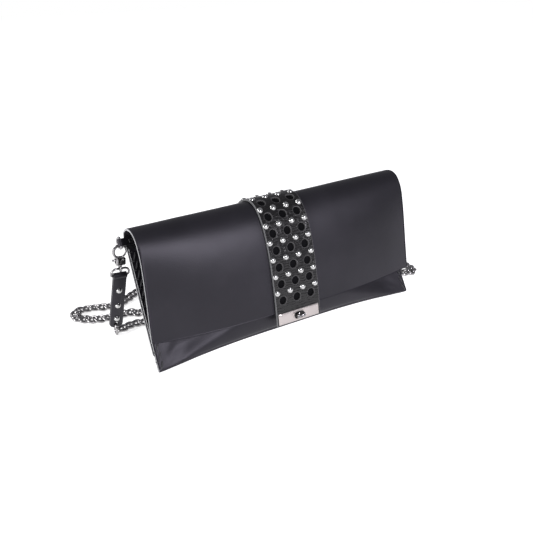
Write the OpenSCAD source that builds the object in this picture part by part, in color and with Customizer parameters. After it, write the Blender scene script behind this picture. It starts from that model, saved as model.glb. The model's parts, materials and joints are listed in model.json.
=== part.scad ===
// Chain wallet: a folded leather pouch with a studded strap over its flap, a turn lock, and a
// chain that clips to a ring at each end. It stands on its lower corners and leans back.
// +X runs along the pouch, +Y points to its back and +Z is up. The origin is on the ground,
// midway between the two lower corners.

/* [Pouch] */
// Length of the pouch between its two stitched sides
pouch_l = 300; // [250:5:360]
// Depth of the pouch along its stitched sides
pouch_d = 121; // [100:1:146]
// Angle that the stitched sides lean back from upright
lean = 29.5; // [24:0.5:35]
// How far the front panel swells forward in the middle
swell = 31; // [24:1:38]
// How far the back panel swells backward in the middle
back_swell = 8; // [4:0.5:12]
// Thickness of the leather of the panels and the flap
hide_t = 2; // [1.6:0.1:2.6]
// Width of the flat stitched margin at each side
margin_w = 7; // [6:0.5:10]

/* [Flap] */
// How much longer than the pouch the flap is, in all
flap_over = 2; // [0:0.5:3]
// Distance from the bottom fold to the flap's lower edge
flap_edge_s = 20; // [16:0.5:26]

/* [Studded strap] */
// Width of the strap over the flap
strap_w = 52; // [48:1:70]
// Thickness of the strap
strap_t = 2.4; // [1.8:0.1:3]
// How far the strap reaches below the flap's edge
tongue_l = 13.5; // [13:0.5:16]
// Distance between the rows of studs
row_pitch = 17.1; // [15:0.1:18]
// Distance between the columns of studs
stud_pitch = 15.1; // [13.5:0.1:16]
// Diameter of a stud's dome
stud_d = 6.6; // [5:0.1:7.2]
// Diameter of the round holes between the studs
hole_d = 8.5; // [6:0.1:9]

/* [Turn lock] */
// Length of the lock plate
plate_l = 48.5; // [40:0.5:50]
// Height of the lock plate
plate_h = 11.8; // [11:0.1:13]
// Thickness of the lock plate
plate_t = 1.2; // [0.8:0.1:1.6]
// Length of the turning knob
knob_l = 10.4; // [8:0.1:11]
// Width of the turning knob
knob_w = 5.4; // [4.4:0.1:6]
// Diameter of the knob's spindle
spindle_d = 3; // [2.4:0.1:3.4]

/* [Hardware at the ends] */
// Thickness of the wire of the rings and hooks
wire_d = 2.4; // [2:0.1:2.6]
// Distance from the end of the pouch to the bar of its ring
bar_out = 6; // [5:0.5:9]
// Width of the leather end tab
tab_w = 13.3; // [10:0.1:13.6]
// Length of the leather end tab below its ring
tab_l = 65; // [50:1:66]
// Thickness of the folded end tab
tab_t = 3.4; // [2.8:0.1:4]

/* [Chain] */
// Width of the flat chain
chain_w = 12; // [8:1:13]
// Thickness of the flat chain
chain_t = 5.2; // [4:0.2:6]

/* [Hidden] */

$fn = 48;
leather = "#3a383d";
thread = "#2c2b30";
steel = "#5b5d62";
bright = "#c9c6c6";

// Clearances
fold_gap = 0.3;     // between the flap and the back panel at their fold
rest_gap = 0.3;     // between a ring and what hangs in it
run_gap = 0.06;     // radial, round a pin that turns
bore_gap = 0.1;     // on the diameter, round a shank or rivet that is fixed

// A round hole right through whatever lies within its reach
bore_reach = 8;
module bore(d) cylinder(d = d, h = 2 * bore_reach, center = true);

// ---- Profiles across the pouch, as [y, z] points ----

// s runs up the stitched side from the bottom fold, f points forward from it
function at(s, f) = [s * sin(lean) - f * cos(lean), s * cos(lean) + f * sin(lean)];

half_l = pouch_l / 2;
straight = 30;                      // half of the middle stretch with a constant section
mouth_s = pouch_d - 16;             // top of the front panel in the middle
seam_top_s = pouch_d - 3;           // top of the front panel at the sides
fold_s = pouch_d + 9;               // where the flap folds over from the back panel
bottom_rise = 4;                    // the bottom fold curves up this far in the middle

// 0 in the middle stretch, 1 at the stitched margin
function out_at(x) = min(1, max(0, (abs(x) - straight) / (half_l - margin_w - straight)));
function fullness(x) = 1 - pow(out_at(x), 2);

function front_f(x, u) = hide_t + swell * fullness(x) * pow(u, 0.55);
function front_s(x, u) = let (low = bottom_rise * fullness(x),
    top = seam_top_s + (mouth_s - seam_top_s) * fullness(x)) low + u * (top - low);
function back_f(x, s) = -hide_t - back_swell * 4 * (s / fold_s) * (1 - s / fold_s) * fullness(x);

function unit(v) = v / norm(v);
function cubic(p, t) = pow(1 - t, 3) * p[0] + 3 * pow(1 - t, 2) * t * p[1]
    + 3 * (1 - t) * t * t * p[2] + pow(t, 3) * p[3];

// The flap rises from the fold, rounds over the crest and falls to its lower edge. Towards
// its ends it draws back, and its left end sits lower and further back than its right end.
crest = at(pouch_d + 13, swell - 4);
edge = at(flap_edge_s, swell * 0.58 + 2 * hide_t - 2.1);
down_tongue = -unit([0.17, 0.985]);
end_draw = [12.5, 1];
crest_skew = [-6, 4];
edge_skew = [-4.5, 2.5];
crest_steps = 7;
fall_steps = 13;

function flap_out(x) = max(0, (abs(x) - straight) / (half_l - straight));
function crest_at(x) = crest + sign(x) * flap_out(x) * crest_skew;
function edge_at(x) = edge + pow(flap_out(x), 2) * end_draw + sign(x) * flap_out(x) * edge_skew;
function flap_line(x) = let (c = crest_at(x), e = edge_at(x), start = at(fold_s, -hide_t)) concat(
    [for (i = [0:crest_steps]) cubic([start, start + 6 * unit(at(1, 0)), c + [12, 0], c],
        i / crest_steps)],
    [for (i = [1:fall_steps]) cubic([c, c - [24, 0], e - 60 * down_tongue, e], i / fall_steps)]);

// A line moved sideways: a positive distance is outward, away from the pouch
function tangent_at(line, i) = i == 0 ? unit(at(1, 0))
    : unit(line[min(i + 1, len(line) - 1)] - line[i - 1]);
function outward(t) = [t[1], -t[0]];
function offset_line(line, d) = [for (i = [0:len(line) - 1]) line[i] + d * outward(tangent_at(line, i))];

// The front panel's line, with its outward side away from the back panel
panel_steps = 13;
function front_line(x) = [for (i = [0:panel_steps]) let (u = pow(i / panel_steps, 1.7))
    at(front_s(x, u), front_f(x, u))];
function front_inner(x) = let (line = front_line(x)) [for (i = [0:panel_steps])
    i == 0 ? at(front_s(x, 0), 0)
    : let (t = unit(line[min(i + 1, panel_steps)] - line[i - 1]),
        steep = max(0, 1 - i / 2) * fullness(x))
        line[i] + hide_t * unit([t[1], -t[0]] * (1 - steep) + at(0, -1) * steep)];

// The back panel's line between two heights, at a distance inside its outer face
function back_line(x, low, high, inside, steps) = [for (i = [0:steps])
    let (s = low + (high - low) * i / steps) at(s, back_f(x, s) + inside)];

// ---- Solids from lines ----

// A closed sheet between two grids of lines, one line for each x
module sheet(xs, outer, inner) {
    m = len(outer[0]);
    k = len(xs) * m;
    pts = concat([for (i = [0:len(xs) - 1]) for (p = outer[i]) [xs[i], p[0], p[1]]],
        [for (i = [0:len(xs) - 1]) for (p = inner[i]) [xs[i], p[0], p[1]]]);
    cells = [for (i = [0:len(xs) - 2]) for (j = [0:m - 2]) [i * m + j, (i + 1) * m + j]];
    edges = concat([for (j = [0:m - 2]) [j, j + 1]],
        [for (i = [0:len(xs) - 2]) [i * m + m - 1, (i + 1) * m + m - 1]],
        [for (j = [m - 2:-1:0]) [k - m + j + 1, k - m + j]],
        [for (i = [len(xs) - 2:-1:0]) [(i + 1) * m, i * m]]);
    polyhedron(pts, concat(
        [for (c = cells) each [[c[0], c[1], c[1] + 1], [c[0], c[1] + 1, c[0] + 1]]],
        [for (c = cells) each [[k + c[0], k + c[1] + 1, k + c[1]],
            [k + c[0], k + c[0] + 1, k + c[1] + 1]]],
        [for (e = edges) each [[e[0], e[1], k + e[1]], [e[0], k + e[1], k + e[0]]]]));
}

// A flat [y, z] outline pulled along X, centred on the strap's middle
module along_x(w, outline) translate([strap_x - w / 2, 0, 0])
    rotate([90, 0, 90]) linear_extrude(w) polygon(outline);

function reversed(v) = [for (i = [len(v) - 1:-1:0]) v[i]];

// Stations along the pouch: dense where it is pinched, with one at the margin's inner side
function stations(half, n) = let (reach = half_l - margin_w - straight,
    right = [for (i = [1:n]) straight + reach * sqrt(i / n)])
    concat([-half], [for (i = [n - 1:-1:0]) -right[i]], [-straight, straight], right, [half]);

// ---- The strap's own line, studs and holes ----

strap_x = -1.5;
strap_lift = 0.05;
strap_mid = offset_line(flap_line(0), strap_lift);
strap_inner = concat(strap_mid, [strap_mid[len(strap_mid) - 1] + tongue_l * down_tongue]);
strap_top = let (l = offset_line(flap_line(0), strap_lift + strap_t))
    concat(l, [l[len(l) - 1] + tongue_l * down_tongue]);

function walk(line, d, i = 0) = let (step = norm(line[i + 1] - line[i]))
    d <= step || i >= len(line) - 2 ? [line[i] + unit(line[i + 1] - line[i]) * d,
        outward(unit(line[i + 1] - line[i]))] : walk(line, d - step, i + 1);

stud_rows = 8;
first_row = 18.9;
columns = [-1.5, -0.5, 0.5, 1.5];
hole_columns = [-1, 0, 1];
hole_pitch = stud_pitch * 1.12;
shank_d = 2.4;
cap_d = 6;
cap_t = 1;

// Turns +Z to a [y, z] direction
module facing(dir) rotate([atan2(-dir[0], dir[1]), 0, 0]) children();
module on_line(line, d, x) {
    spot = walk(line, d);
    translate([x, spot[0][0], spot[0][1]]) facing(spot[1]) children();
}
module stud_places() for (k = [0:stud_rows - 1]) for (c = columns)
    on_line(strap_top, first_row + k * row_pitch, strap_x + c * stud_pitch) children();

strap_back_l = 46;
back_steps = 6;
back_strap_top = back_line(0, fold_s - fold_gap / 2, fold_s - strap_back_l, -strap_lift - strap_t,
    back_steps);
back_strap_inner = back_line(0, fold_s - fold_gap / 2, fold_s - strap_back_l, -strap_lift, back_steps);
back_rows = [15.4, 32.5];
module back_stud_places() for (d = back_rows) for (c = columns)
    on_back_line(d, strap_x + c * stud_pitch) children();
module on_back_line(d, x) {
    spot = walk(back_strap_top, d);
    translate([x, spot[0][0], spot[0][1]]) facing(-spot[1]) children();
}

cap_drop = 0.6;
shank_into = 0.6;
dome_h = 1.9;
module stud(through) rotate_extrude() let (tip = -through - cap_drop - shank_into)
    polygon(concat([[0, tip], [shank_d / 2, tip], [shank_d / 2, 0], [stud_d / 2, 0]],
        [for (a = [10:20:90]) [stud_d / 2 * cos(a), 0.5 + dome_h * sin(a)]]));
module stud_cap(through) translate([0, 0, -through - cap_drop - cap_t]) difference() {
    cylinder(d = cap_d, h = cap_t);
    translate([0, 0, cap_t - shank_into - 0.05]) cylinder(d = shank_d + 0.1, h = cap_t);
}

// ---- Leather ----

module front_panel() {
    xs = stations(half_l, 8);
    color(leather) difference() {
        sheet(xs, [for (x = xs) reversed(front_line(x))], [for (x = xs) reversed(front_inner(x))]);
        lock_place() bore(base_d);
    }
}

module back_panel() {
    xs = stations(half_l, 6);
    high = fold_s - fold_gap / 2;
    color(leather) difference() {
        sheet(xs, [for (x = xs) back_line(x, bottom_rise * fullness(x), high, 0, 9)],
            [for (x = xs) back_line(x, bottom_rise * fullness(x), high, hide_t, 9)]);
        back_stud_places() bore(shank_d + bore_gap);
        for (side = [-1, 1]) on_side(side) tab_rivet_place() bore(rivet_d + bore_gap);
    }
}

pocket_l = 150;
pocket_high = pouch_d - 29;
pocket_low = pocket_high - 50;
pocket_t = 1.4;
pocket_gap = 0.45;
module inner_pocket() {
    xs = [for (i = [-6:6]) pocket_l / 12 * i];
    color(leather) sheet(xs,
        [for (x = xs) back_line(x, pocket_low, pocket_high, hide_t + pocket_gap, 6)],
        [for (x = xs) back_line(x, pocket_low, pocket_high, hide_t + pocket_gap + pocket_t, 6)]);
}

module flap() {
    xs = stations(half_l + flap_over / 2, 6);
    color(leather) difference() {
        sheet(xs, [for (x = xs) lifted(flap_line(x))],
            [for (x = xs) lifted(offset_line(flap_line(x), -hide_t))]);
        stud_places() bore(shank_d + bore_gap);
    }
}
// The flap's first row of points is moved up by half of the fold's gap
function lifted(line) = [for (i = [0:len(line) - 1])
    line[i] + (i == 0 ? fold_gap / 2 * unit(at(1, 0)) : [0, 0])];

module strap_front() color(leather) difference() {
    along_x(strap_w, concat(lifted(strap_top), reversed(lifted(strap_inner))));
    stud_places() bore(shank_d + bore_gap);
    for (k = [0:stud_rows - 1]) for (c = hole_columns)
        on_line(strap_top, first_row + (k + 0.5) * row_pitch, strap_x + c * hole_pitch)
            translate([0, 0, -strap_t - 1]) cylinder(d = hole_d, h = strap_t + 3);
    plate_place() slot_cut();
    plate_pin_places() bore(pin_d + bore_gap);
}

module strap_back() color(leather) difference() {
    along_x(strap_w, concat(back_strap_top, reversed(back_strap_inner)));
    back_stud_places() bore(shank_d + bore_gap);
    for (d = back_rows) for (c = hole_columns)
        on_back_line(d + row_pitch / 2, strap_x + c * hole_pitch)
            translate([0, 0, -strap_t - 1]) cylinder(d = hole_d, h = strap_t + 3);
}

// ---- Studs ----

front_through = strap_t + strap_lift + hide_t;
module front_studs() color(bright) stud_places() stud(front_through);
module front_stud_caps() color(steel) stud_places() stud_cap(front_through);
module back_studs() color(bright) back_stud_places() stud(front_through);
module back_stud_caps() color(steel) back_stud_places() stud_cap(front_through);

// ---- Turn lock ----

// The lock's frame: on the strap's outer face, X along the plate and Z outward
plate_spot = strap_top[len(strap_top) - 1] - (plate_h / 2 + 1.2) * down_tongue;
module plate_place() translate([strap_x, plate_spot[0], plate_spot[1]])
    facing(outward(down_tongue)) children();
lock_drop = strap_t + 1.6;          // from the strap's outer face to the front panel
module lock_place() plate_place() translate([0, 0, -lock_drop]) children();

slot_gap = 0.8;
slot_l = knob_l + 2 * slot_gap;
slot_w = knob_w + 2 * slot_gap;
module slot_cut() linear_extrude(2 * bore_reach, center = true) {
    square([slot_l - slot_w, slot_w], center = true);
    for (x = [-1, 1]) translate([x * (slot_l - slot_w) / 2, 0]) circle(d = slot_w);
}
pin_d = 1.4;
backing_t = 0.7;
module plate_pin_places() plate_place() for (x = [-1, 1]) for (y = [-1, 1])
    translate([x * (plate_l / 2 - 2.2), y * (plate_h / 2 - 2.2), 0]) children();

module lock_plate() color(bright) difference() {
    plate_place() translate([0, 0, plate_t / 2 + 0.02]) cube([plate_l, plate_h, plate_t], center = true);
    plate_place() slot_cut();
    plate_pin_places() bore(pin_d + bore_gap);
}
module lock_backing() color(steel) difference() {
    plate_place() translate([0, 0, -strap_t - backing_t / 2 - 0.02])
        cube([plate_l, plate_h - 1, backing_t], center = true);
    plate_place() slot_cut();
    plate_pin_places() bore(pin_d + bore_gap);
}
module lock_plate_pins() color(bright) plate_pin_places()
    translate([0, 0, -strap_t - backing_t]) cylinder(d = pin_d, h = strap_t + backing_t + plate_t + 0.3);

base_d = spindle_d + 1.4;
flange_d = 6.4;
washer_d = 13;
washer_depth = hide_t + 2.6;
module lock_base() color(steel) lock_place() difference() {
    union() {
        cylinder(d = flange_d, h = 1);
        translate([0, 0, -washer_depth]) cylinder(d = base_d - 0.1, h = washer_depth + 0.1);
    }
    translate([0, 0, -washer_depth - 1]) cylinder(d = spindle_d + 2 * run_gap, h = 9);
}
module lock_washer() color(steel) lock_place() translate([0, 0, -washer_depth]) difference() {
    cylinder(d = washer_d, h = 0.8);
    translate([0, 0, -1]) cylinder(d = base_d, h = 3);
}
knob_h = 5.6;
lobe_bevel = 1;
waist_h = knob_h - 0.6;
knob_rise = lock_drop + plate_t + 0.5;
module lock_knob() color(steel) lock_place() {
    translate([0, 0, -washer_depth - 1.2]) cylinder(d = base_d - 0.2, h = 1);
    translate([0, 0, -washer_depth - 0.5]) cylinder(d = spindle_d, h = washer_depth + knob_rise + 1);
    translate([0, 0, knob_rise]) {
        for (x = [-1, 1]) translate([x * (knob_l - knob_w) / 2, 0, 0]) {
            cylinder(d = knob_w, h = knob_h - lobe_bevel);
            translate([0, 0, knob_h - lobe_bevel])
                cylinder(d1 = knob_w, d2 = knob_w - 2 * lobe_bevel, h = lobe_bevel);
        }
        translate([0, 0, waist_h / 2]) cube([knob_l - knob_w, knob_w * 0.72, waist_h], center = true);
    }
}

// ---- Stitching ----

stitch_pitch = 8.7;
stitch_l = 6.4;
stitch_d = 1.3;
module seam_stitches(side) color(thread) on_side(side)
    for (i = [0:floor((seam_top_s - 8) / stitch_pitch)]) for (face = [1, -1])
        let (p = at(6 + i * stitch_pitch, face * (hide_t + stitch_d / 2 + 0.03)))
            translate([-half_l + margin_w * 0.55, p[0], p[1]]) rotate([-lean, 0, 0])
                rotate([0, 10, 0]) cylinder(d = stitch_d, h = stitch_l, center = true, $fn = 16);

// ---- Hardware at the ends: built for the left end, mirrored for the right ----

module on_side(side) {
    if (side > 0) mirror([1, 0, 0]) children();
    else children();
}
wire_r = wire_d / 2;

// Side tab: a folded strip riveted to the back panel's inner face, holding the ring's bar
tab_layer = 1.2;
side_tab_h = 7.2;
side_tab_s = fold_s - 4.4;
bar_r = wire_r;
bar_x = -half_l - bar_out;
rivet_d = 2.6;
module bar_place() let (p = at(side_tab_s, tab_layer)) translate([bar_x, p[0], p[1]])
    rotate([-lean, 0, 0]) children();
module tab_rivet_place() let (p = at(side_tab_s, 2 * tab_layer))
    translate([-half_l + 4, p[0], p[1]]) facing(at(0, 1)) children();

module side_tab(side) color(leather) on_side(side) difference() {
    bar_place() union() {
        cylinder(r = bar_r + rest_gap + tab_layer, h = side_tab_h, center = true);
        translate([0, -tab_layer, -side_tab_h / 2]) cube([bar_out + 12, 2 * tab_layer - 0.03, side_tab_h]);
    }
    bar_place() cylinder(r = bar_r + rest_gap, h = side_tab_h + 2, center = true);
    tab_rivet_place() bore(rivet_d + bore_gap);
}
rivet_through = 2 * tab_layer + hide_t;
rivet_rim_d = 5.2;
rivet_rim_t = 0.9;
module tab_rivet(side) color(steel) on_side(side) tab_rivet_place() difference() {
    union() {
        translate([0, 0, 0.02]) cylinder(d = rivet_rim_d, h = rivet_rim_t);
        translate([0, 0, -rivet_through - 0.3]) cylinder(d = rivet_d, h = rivet_through + 0.5);
        translate([0, 0, -rivet_through - 1.3]) cylinder(d = rivet_rim_d, h = rivet_rim_t + 0.1);
    }
    translate([0, 0, -0.6]) cylinder(d = 1.8, h = 3);
}

// Ring at the pouch's end: a straight bar, two short arms and a round bow
ring_r = 5.1;
ring_arm = 4;
module d_ring(side) color(steel) on_side(side) bar_place() {
    cylinder(r = wire_r, h = 2 * ring_r, center = true);
    for (z = [-1, 1]) translate([0, 0, z * ring_r]) {
        sphere(r = wire_r);
        rotate([-90, 0, 0]) cylinder(r = wire_r, h = ring_arm);
    }
    translate([0, ring_arm, 0]) rotate([90, 0, 90]) rotate([0, 0, -90])
        rotate_extrude(angle = 180) translate([ring_r, 0]) circle(r = wire_r);
}
bar_mid = at(side_tab_s, tab_layer);
bow_mid = bar_mid - ring_arm * at(0, 1);
hang_yz = bow_mid - [0, ring_r];

// The hook's frame: origin where the hook hangs on the ring, -Z down the hook
hang_lean = 4;
module hook_place() translate([bar_x, hang_yz[0], hang_yz[1]]) rotate([0, hang_lean, 0]) children();

hook_r = 6;
hook_mid = wire_r + rest_gap + wire_r - hook_r;
body_w = 9.4;
body_top = hook_mid - 5.6;
body_low = hook_mid - 13.3;
cheek_t = 1.2;
cheek_in = 1.6;
body_t = 2 * (cheek_in + cheek_t);
gate_x = 2.2;
gate_z = hook_mid - 7.4;
gate_pin_r = 0.7;
post_r = 1.5;
block_h = 1.9;
head_r = 2.1;
head_h = 0.9;
module arc(r, wire, from, to) rotate([90, 0, 0]) rotate([0, 0, from])
    rotate_extrude(angle = to - from) translate([r, 0]) circle(r = wire);
module rod(a, b, r) let (v = b - a) translate(a) rotate([0, acos(v[2] / norm(v)), atan2(v[1], v[0])])
    cylinder(r = r, h = norm(v));

module hook_body(side) color(steel) on_side(side) hook_place() difference() {
    union() {
        translate([0, 0, hook_mid]) arc(hook_r, wire_r, 22, 236);
        translate([hook_r * cos(22), 0, hook_mid + hook_r * sin(22)]) sphere(r = wire_r);
        for (y = [-1, 1]) translate([0, y * (cheek_in + cheek_t / 2), (body_top + body_low) / 2])
            cube([body_w, cheek_t, body_top - body_low], center = true);
        translate([-body_w / 2, -body_t / 2, body_top - 1]) cube([3.4, body_t, 1.6]);
        translate([-body_w / 2, -body_t / 2, body_low]) cube([body_w, body_t, block_h]);
    }
    translate([0, 0, body_low - 1]) cylinder(r = post_r + run_gap, h = 4);
    translate([0, 0, body_low + block_h]) cylinder(r = head_r + 0.15, h = head_h + 0.3);
    translate([gate_x, 0, gate_z]) rotate([90, 0, 0]) cylinder(r = gate_pin_r, h = 12, center = true);
}
module gate_pin(side) color(bright) on_side(side) hook_place() translate([gate_x, 0, gate_z])
    rotate([90, 0, 0]) cylinder(r = gate_pin_r, h = body_t + 0.4, center = true);
hub_r = 1.9;
hub_w = 2 * cheek_in - 0.5;
gate_r = wire_r - 0.2;
gate_w = 2.2;
gate_line = [for (a = [-48, -25, -3]) [hook_r * cos(a), hook_mid + hook_r * sin(a)]];
lever_r = 0.8;
lever_w = 1.8;
lever_end = [-body_w / 2 - 2.4, gate_z - 0.8];
thumb_r = lever_r + 0.5;
// A point in the hub's wall on the way to another point
function on_hub(p) = let (mid = [gate_x, gate_z]) mid + 1.55 * unit(p - mid);
// Outline of a flat bar of half-width r along a line of points, round at its far end
function bar_outline(line, r) = let (
    last = len(line) - 1,
    way = [for (i = [0:last]) unit(line[min(i + 1, last)] - line[max(i - 1, 0)])],
    turn = atan2(way[last][1], way[last][0]))
    concat(
        [for (i = [0:last]) line[i] + r * [way[i][1], -way[i][0]]],
        [for (a = [-60:30:60]) line[last] + r * [cos(turn + a), sin(turn + a)]],
        [for (i = [last:-1:0]) line[i] + r * [-way[i][1], way[i][0]]]
    );
module flat_bar(line, r, w) rotate([90, 0, 0])
    linear_extrude(height = w, center = true) polygon(bar_outline(line, r));
module on_gate_axis(p) translate([p[0], 0, p[1]]) rotate([90, 0, 0]) children();
module gate(side) color(steel) on_side(side) hook_place() difference() {
    union() {
        on_gate_axis([gate_x, gate_z]) cylinder(r = hub_r, h = hub_w, center = true);
        flat_bar(concat([on_hub(gate_line[0])], gate_line), gate_r, gate_w);
        flat_bar([on_hub(lever_end), lever_end], lever_r, lever_w);
        on_gate_axis(lever_end) cylinder(r = thumb_r, h = gate_w, center = true);
    }
    on_gate_axis([gate_x, gate_z]) cylinder(r = gate_pin_r + run_gap, h = 6, center = true);
    on_gate_axis([gate_x, gate_z]) cylinder(r = 1.4, h = 3);
}
module gate_spring(side) color(bright) on_side(side) hook_place()
    translate([gate_x, -0.05, gate_z]) rotate([90, 0, 0]) difference() {
        cylinder(r = 1.3, h = 1.2);
        translate([0, 0, -1]) cylinder(r = gate_pin_r + 0.1, h = 4);
    }
eye_r = 2.7;
eye_wire = 1.1;
eye_mid = body_low - 4;
module swivel_eye(side) color(steel) on_side(side) hook_place() {
    translate([0, 0, body_low + block_h + 0.1]) cylinder(r = head_r, h = head_h);
    translate([0, 0, eye_mid + eye_r - 0.4]) cylinder(r = post_r, h = body_low + 2.2 - eye_mid - eye_r + 0.4);
    translate([0, 0, eye_mid]) rotate([0, 0, 90]) arc(eye_r, eye_wire, 0, 360);
}

// Strap ring: origin of its frame is where it hangs in the eye; it and the tab lean back
strap_tilt = 14;
strap_ring_z = eye_mid - eye_r + 2 * eye_wire + rest_gap;
module lower_place() hook_place() translate([0, 0, strap_ring_z]) rotate([strap_tilt, 0, 0]) children();
ring_w = 18;
ring_h = 8.2;
low_r = 2;
top_r = 5;
module strap_ring(side) color(steel) on_side(side) lower_place() {
    for (m = [0, 1]) mirror([m, 0, 0]) {
        rod([-0.1, 0, 0], [ring_w / 2 - top_r, 0, 0], eye_wire);
        translate([ring_w / 2 - top_r, 0, -top_r]) arc(top_r, eye_wire, 0, 90);
        rod([ring_w / 2, 0, -top_r], [ring_w / 2, 0, -ring_h + low_r], eye_wire);
        translate([ring_w / 2 - low_r, 0, -ring_h + low_r]) arc(low_r, eye_wire, -90, 0);
        rod([-0.1, 0, -ring_h], [ring_w / 2 - low_r, 0, -ring_h], eye_wire);
    }
}

// Leather end tab: folded round the strap ring's lower bar and riveted three times
tab_hide = 1.6;
tab_bore = eye_wire + rest_gap;
tab_clear = 11;                     // a tab stops at least this far above the ground
tab_room = (hang_yz[1] + cos(hang_lean) * strap_ring_z - tab_clear) / cos(strap_tilt) - ring_h;
tab_len = min(tab_l, tab_room);
tab_studs_at = [for (part = [18, 37, 54]) part / 65 * tab_len];
tab_tip_cut = 3;
tab_slot_w = 4;
tab_slot_l = 4.5;
module tab_place() lower_place() translate([0, 0, -ring_h]) children();
module end_tab(side) color(leather) on_side(side) tab_place() difference() {
    union() {
        rotate([0, 90, 0]) cylinder(r = tab_bore + tab_hide, h = tab_w, center = true);
        rotate([90, 0, 0]) linear_extrude(tab_t, center = true) polygon([[-tab_w / 2, 0], [tab_w / 2, 0],
            [tab_w / 2, -tab_len + tab_tip_cut], [tab_w / 2 - tab_tip_cut, -tab_len],
            [-tab_w / 2 + tab_tip_cut, -tab_len], [-tab_w / 2, -tab_len + tab_tip_cut]]);
    }
    rotate([0, 90, 0]) cylinder(r = tab_bore, h = tab_w + 2, center = true);
    for (d = tab_studs_at) translate([0, 0, -d]) rotate([90, 0, 0]) bore(shank_d + bore_gap);
    translate([0, 0, tab_slot_l - tab_len]) rotate([90, 0, 0]) bore(tab_slot_w);
    translate([0, 0, -tab_len]) cube([tab_slot_w, 4 * tab_t, 2 * tab_slot_l], center = true);
}
module tab_studs(side) color(bright) on_side(side) tab_place() for (d = tab_studs_at)
    translate([0, -tab_t / 2 - 0.02, -d]) rotate([90, 0, 0]) {
        rotate_extrude() polygon(concat([[0, 0]], [[stud_d / 2 - 0.2, 0]],
            [for (a = [10:20:90]) [(stud_d / 2 - 0.2) * cos(a), 0.4 + 1.5 * sin(a)]]));
        translate([0, 0, -tab_t - 0.3]) cylinder(d = shank_d, h = tab_t + 0.4);
        translate([0, 0, -tab_t - 1.1]) cylinder(d = cap_d - 1, h = 0.9);
    }

// ---- Chain ----

// Link below each tab, standing on the ground just clear of the tab's tip
link_x = half_l + 12.4;
link_y = 82;
link_r = 3.7;
link_wire = 1.5;
module end_link(side) color(steel) on_side(side) translate([-link_x, link_y, link_r + link_wire + 0.2])
    rotate([0, 90, 0]) rotate_extrude() translate([link_r, 0]) circle(r = link_wire);

// The chain lies on the ground behind the pouch: from the left tab along the back, round and
// back to a loop past the left end, then along the back again to the right tab
chain_z = 2.8;
route = [[-158.4, 84.6], [-150, 88], [-138, 89], [-118, 86], [-60, 88], [20, 92], [78, 94], [102, 104],
    [102, 124], [78, 132], [20, 124], [-60, 112], [-118, 106], [-132, 113], [-146, 116], [-160, 116],
    [-176, 122], [-187, 134], [-181, 146], [-166, 145], [-146, 138], [-128, 143], [-108, 154],
    [-60, 162], [20, 164], [100, 152], [158, 114], [188, 68], [196, 44], [191, 29], [180, 31],
    [172, 48], [166, 62], [163, 73.5]];
route_steps = 2;
function route_at(i) = route[max(0, min(len(route) - 1, i))];
function spline(i, t) = let (a = route_at(i - 1), b = route_at(i), c = route_at(i + 1), d = route_at(i + 2))
    0.5 * (2 * b + (c - a) * t + (2 * a - 5 * b + 4 * c - d) * t * t + (3 * b - 3 * c + d - a) * t * t * t);
chain_line = concat([for (i = [0:len(route) - 2]) for (k = [0:route_steps - 1]) spline(i, k / route_steps)],
    [route[len(route) - 1]]);
tube_sides = 8;
module chain() {
    n = len(chain_line);
    rings = [for (i = [0:n - 1]) let (t = unit(chain_line[min(i + 1, n - 1)] - chain_line[max(i - 1, 0)]))
        for (k = [0:tube_sides - 1]) let (a = 360 * k / tube_sides + 22.5, w = chain_w / 2 * cos(a))
            [chain_line[i][0] + t[1] * w, chain_line[i][1] - t[0] * w, chain_z + chain_t / 2 * sin(a)]];
    color(steel) polyhedron(rings, concat([[for (k = [0:tube_sides - 1]) k]],
        [[for (k = [tube_sides - 1:-1:0]) (n - 1) * tube_sides + k]],
        [for (i = [0:n - 2]) for (k = [0:tube_sides - 1]) let (a = i * tube_sides + k,
            b = i * tube_sides + (k + 1) % tube_sides) each [[a, a + tube_sides, b + tube_sides],
            [a, b + tube_sides, b]]]));
}

front_panel();
back_panel();
inner_pocket();
flap();
strap_front();
strap_back();
front_studs();
front_stud_caps();
back_studs();
back_stud_caps();
lock_plate();
lock_backing();
lock_plate_pins();
lock_base();
lock_washer();
lock_knob();
seam_stitches(-1);  // left_seam_stitches
seam_stitches(1);  // right_seam_stitches
side_tab(-1);  // left_side_tab
side_tab(1);  // right_side_tab
tab_rivet(-1);  // left_tab_rivet
tab_rivet(1);  // right_tab_rivet
d_ring(-1);  // left_d_ring
d_ring(1);  // right_d_ring
hook_body(-1);  // left_hook_body
hook_body(1);  // right_hook_body
gate(-1);  // left_gate
gate(1);  // right_gate
gate_pin(-1);  // left_gate_pin
gate_pin(1);  // right_gate_pin
gate_spring(-1);  // left_gate_spring
gate_spring(1);  // right_gate_spring
swivel_eye(-1);  // left_swivel_eye
swivel_eye(1);  // right_swivel_eye
strap_ring(-1);  // left_strap_ring
strap_ring(1);  // right_strap_ring
end_tab(-1);  // left_end_tab
end_tab(1);  // right_end_tab
tab_studs(-1);  // left_tab_studs
tab_studs(1);  // right_tab_studs
end_link(-1);  // left_end_link
end_link(1);  // right_end_link
chain();
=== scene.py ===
import json
import math
import random

import bmesh
import bpy
import numpy as np
from mathutils import Matrix, Vector, noise


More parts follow.
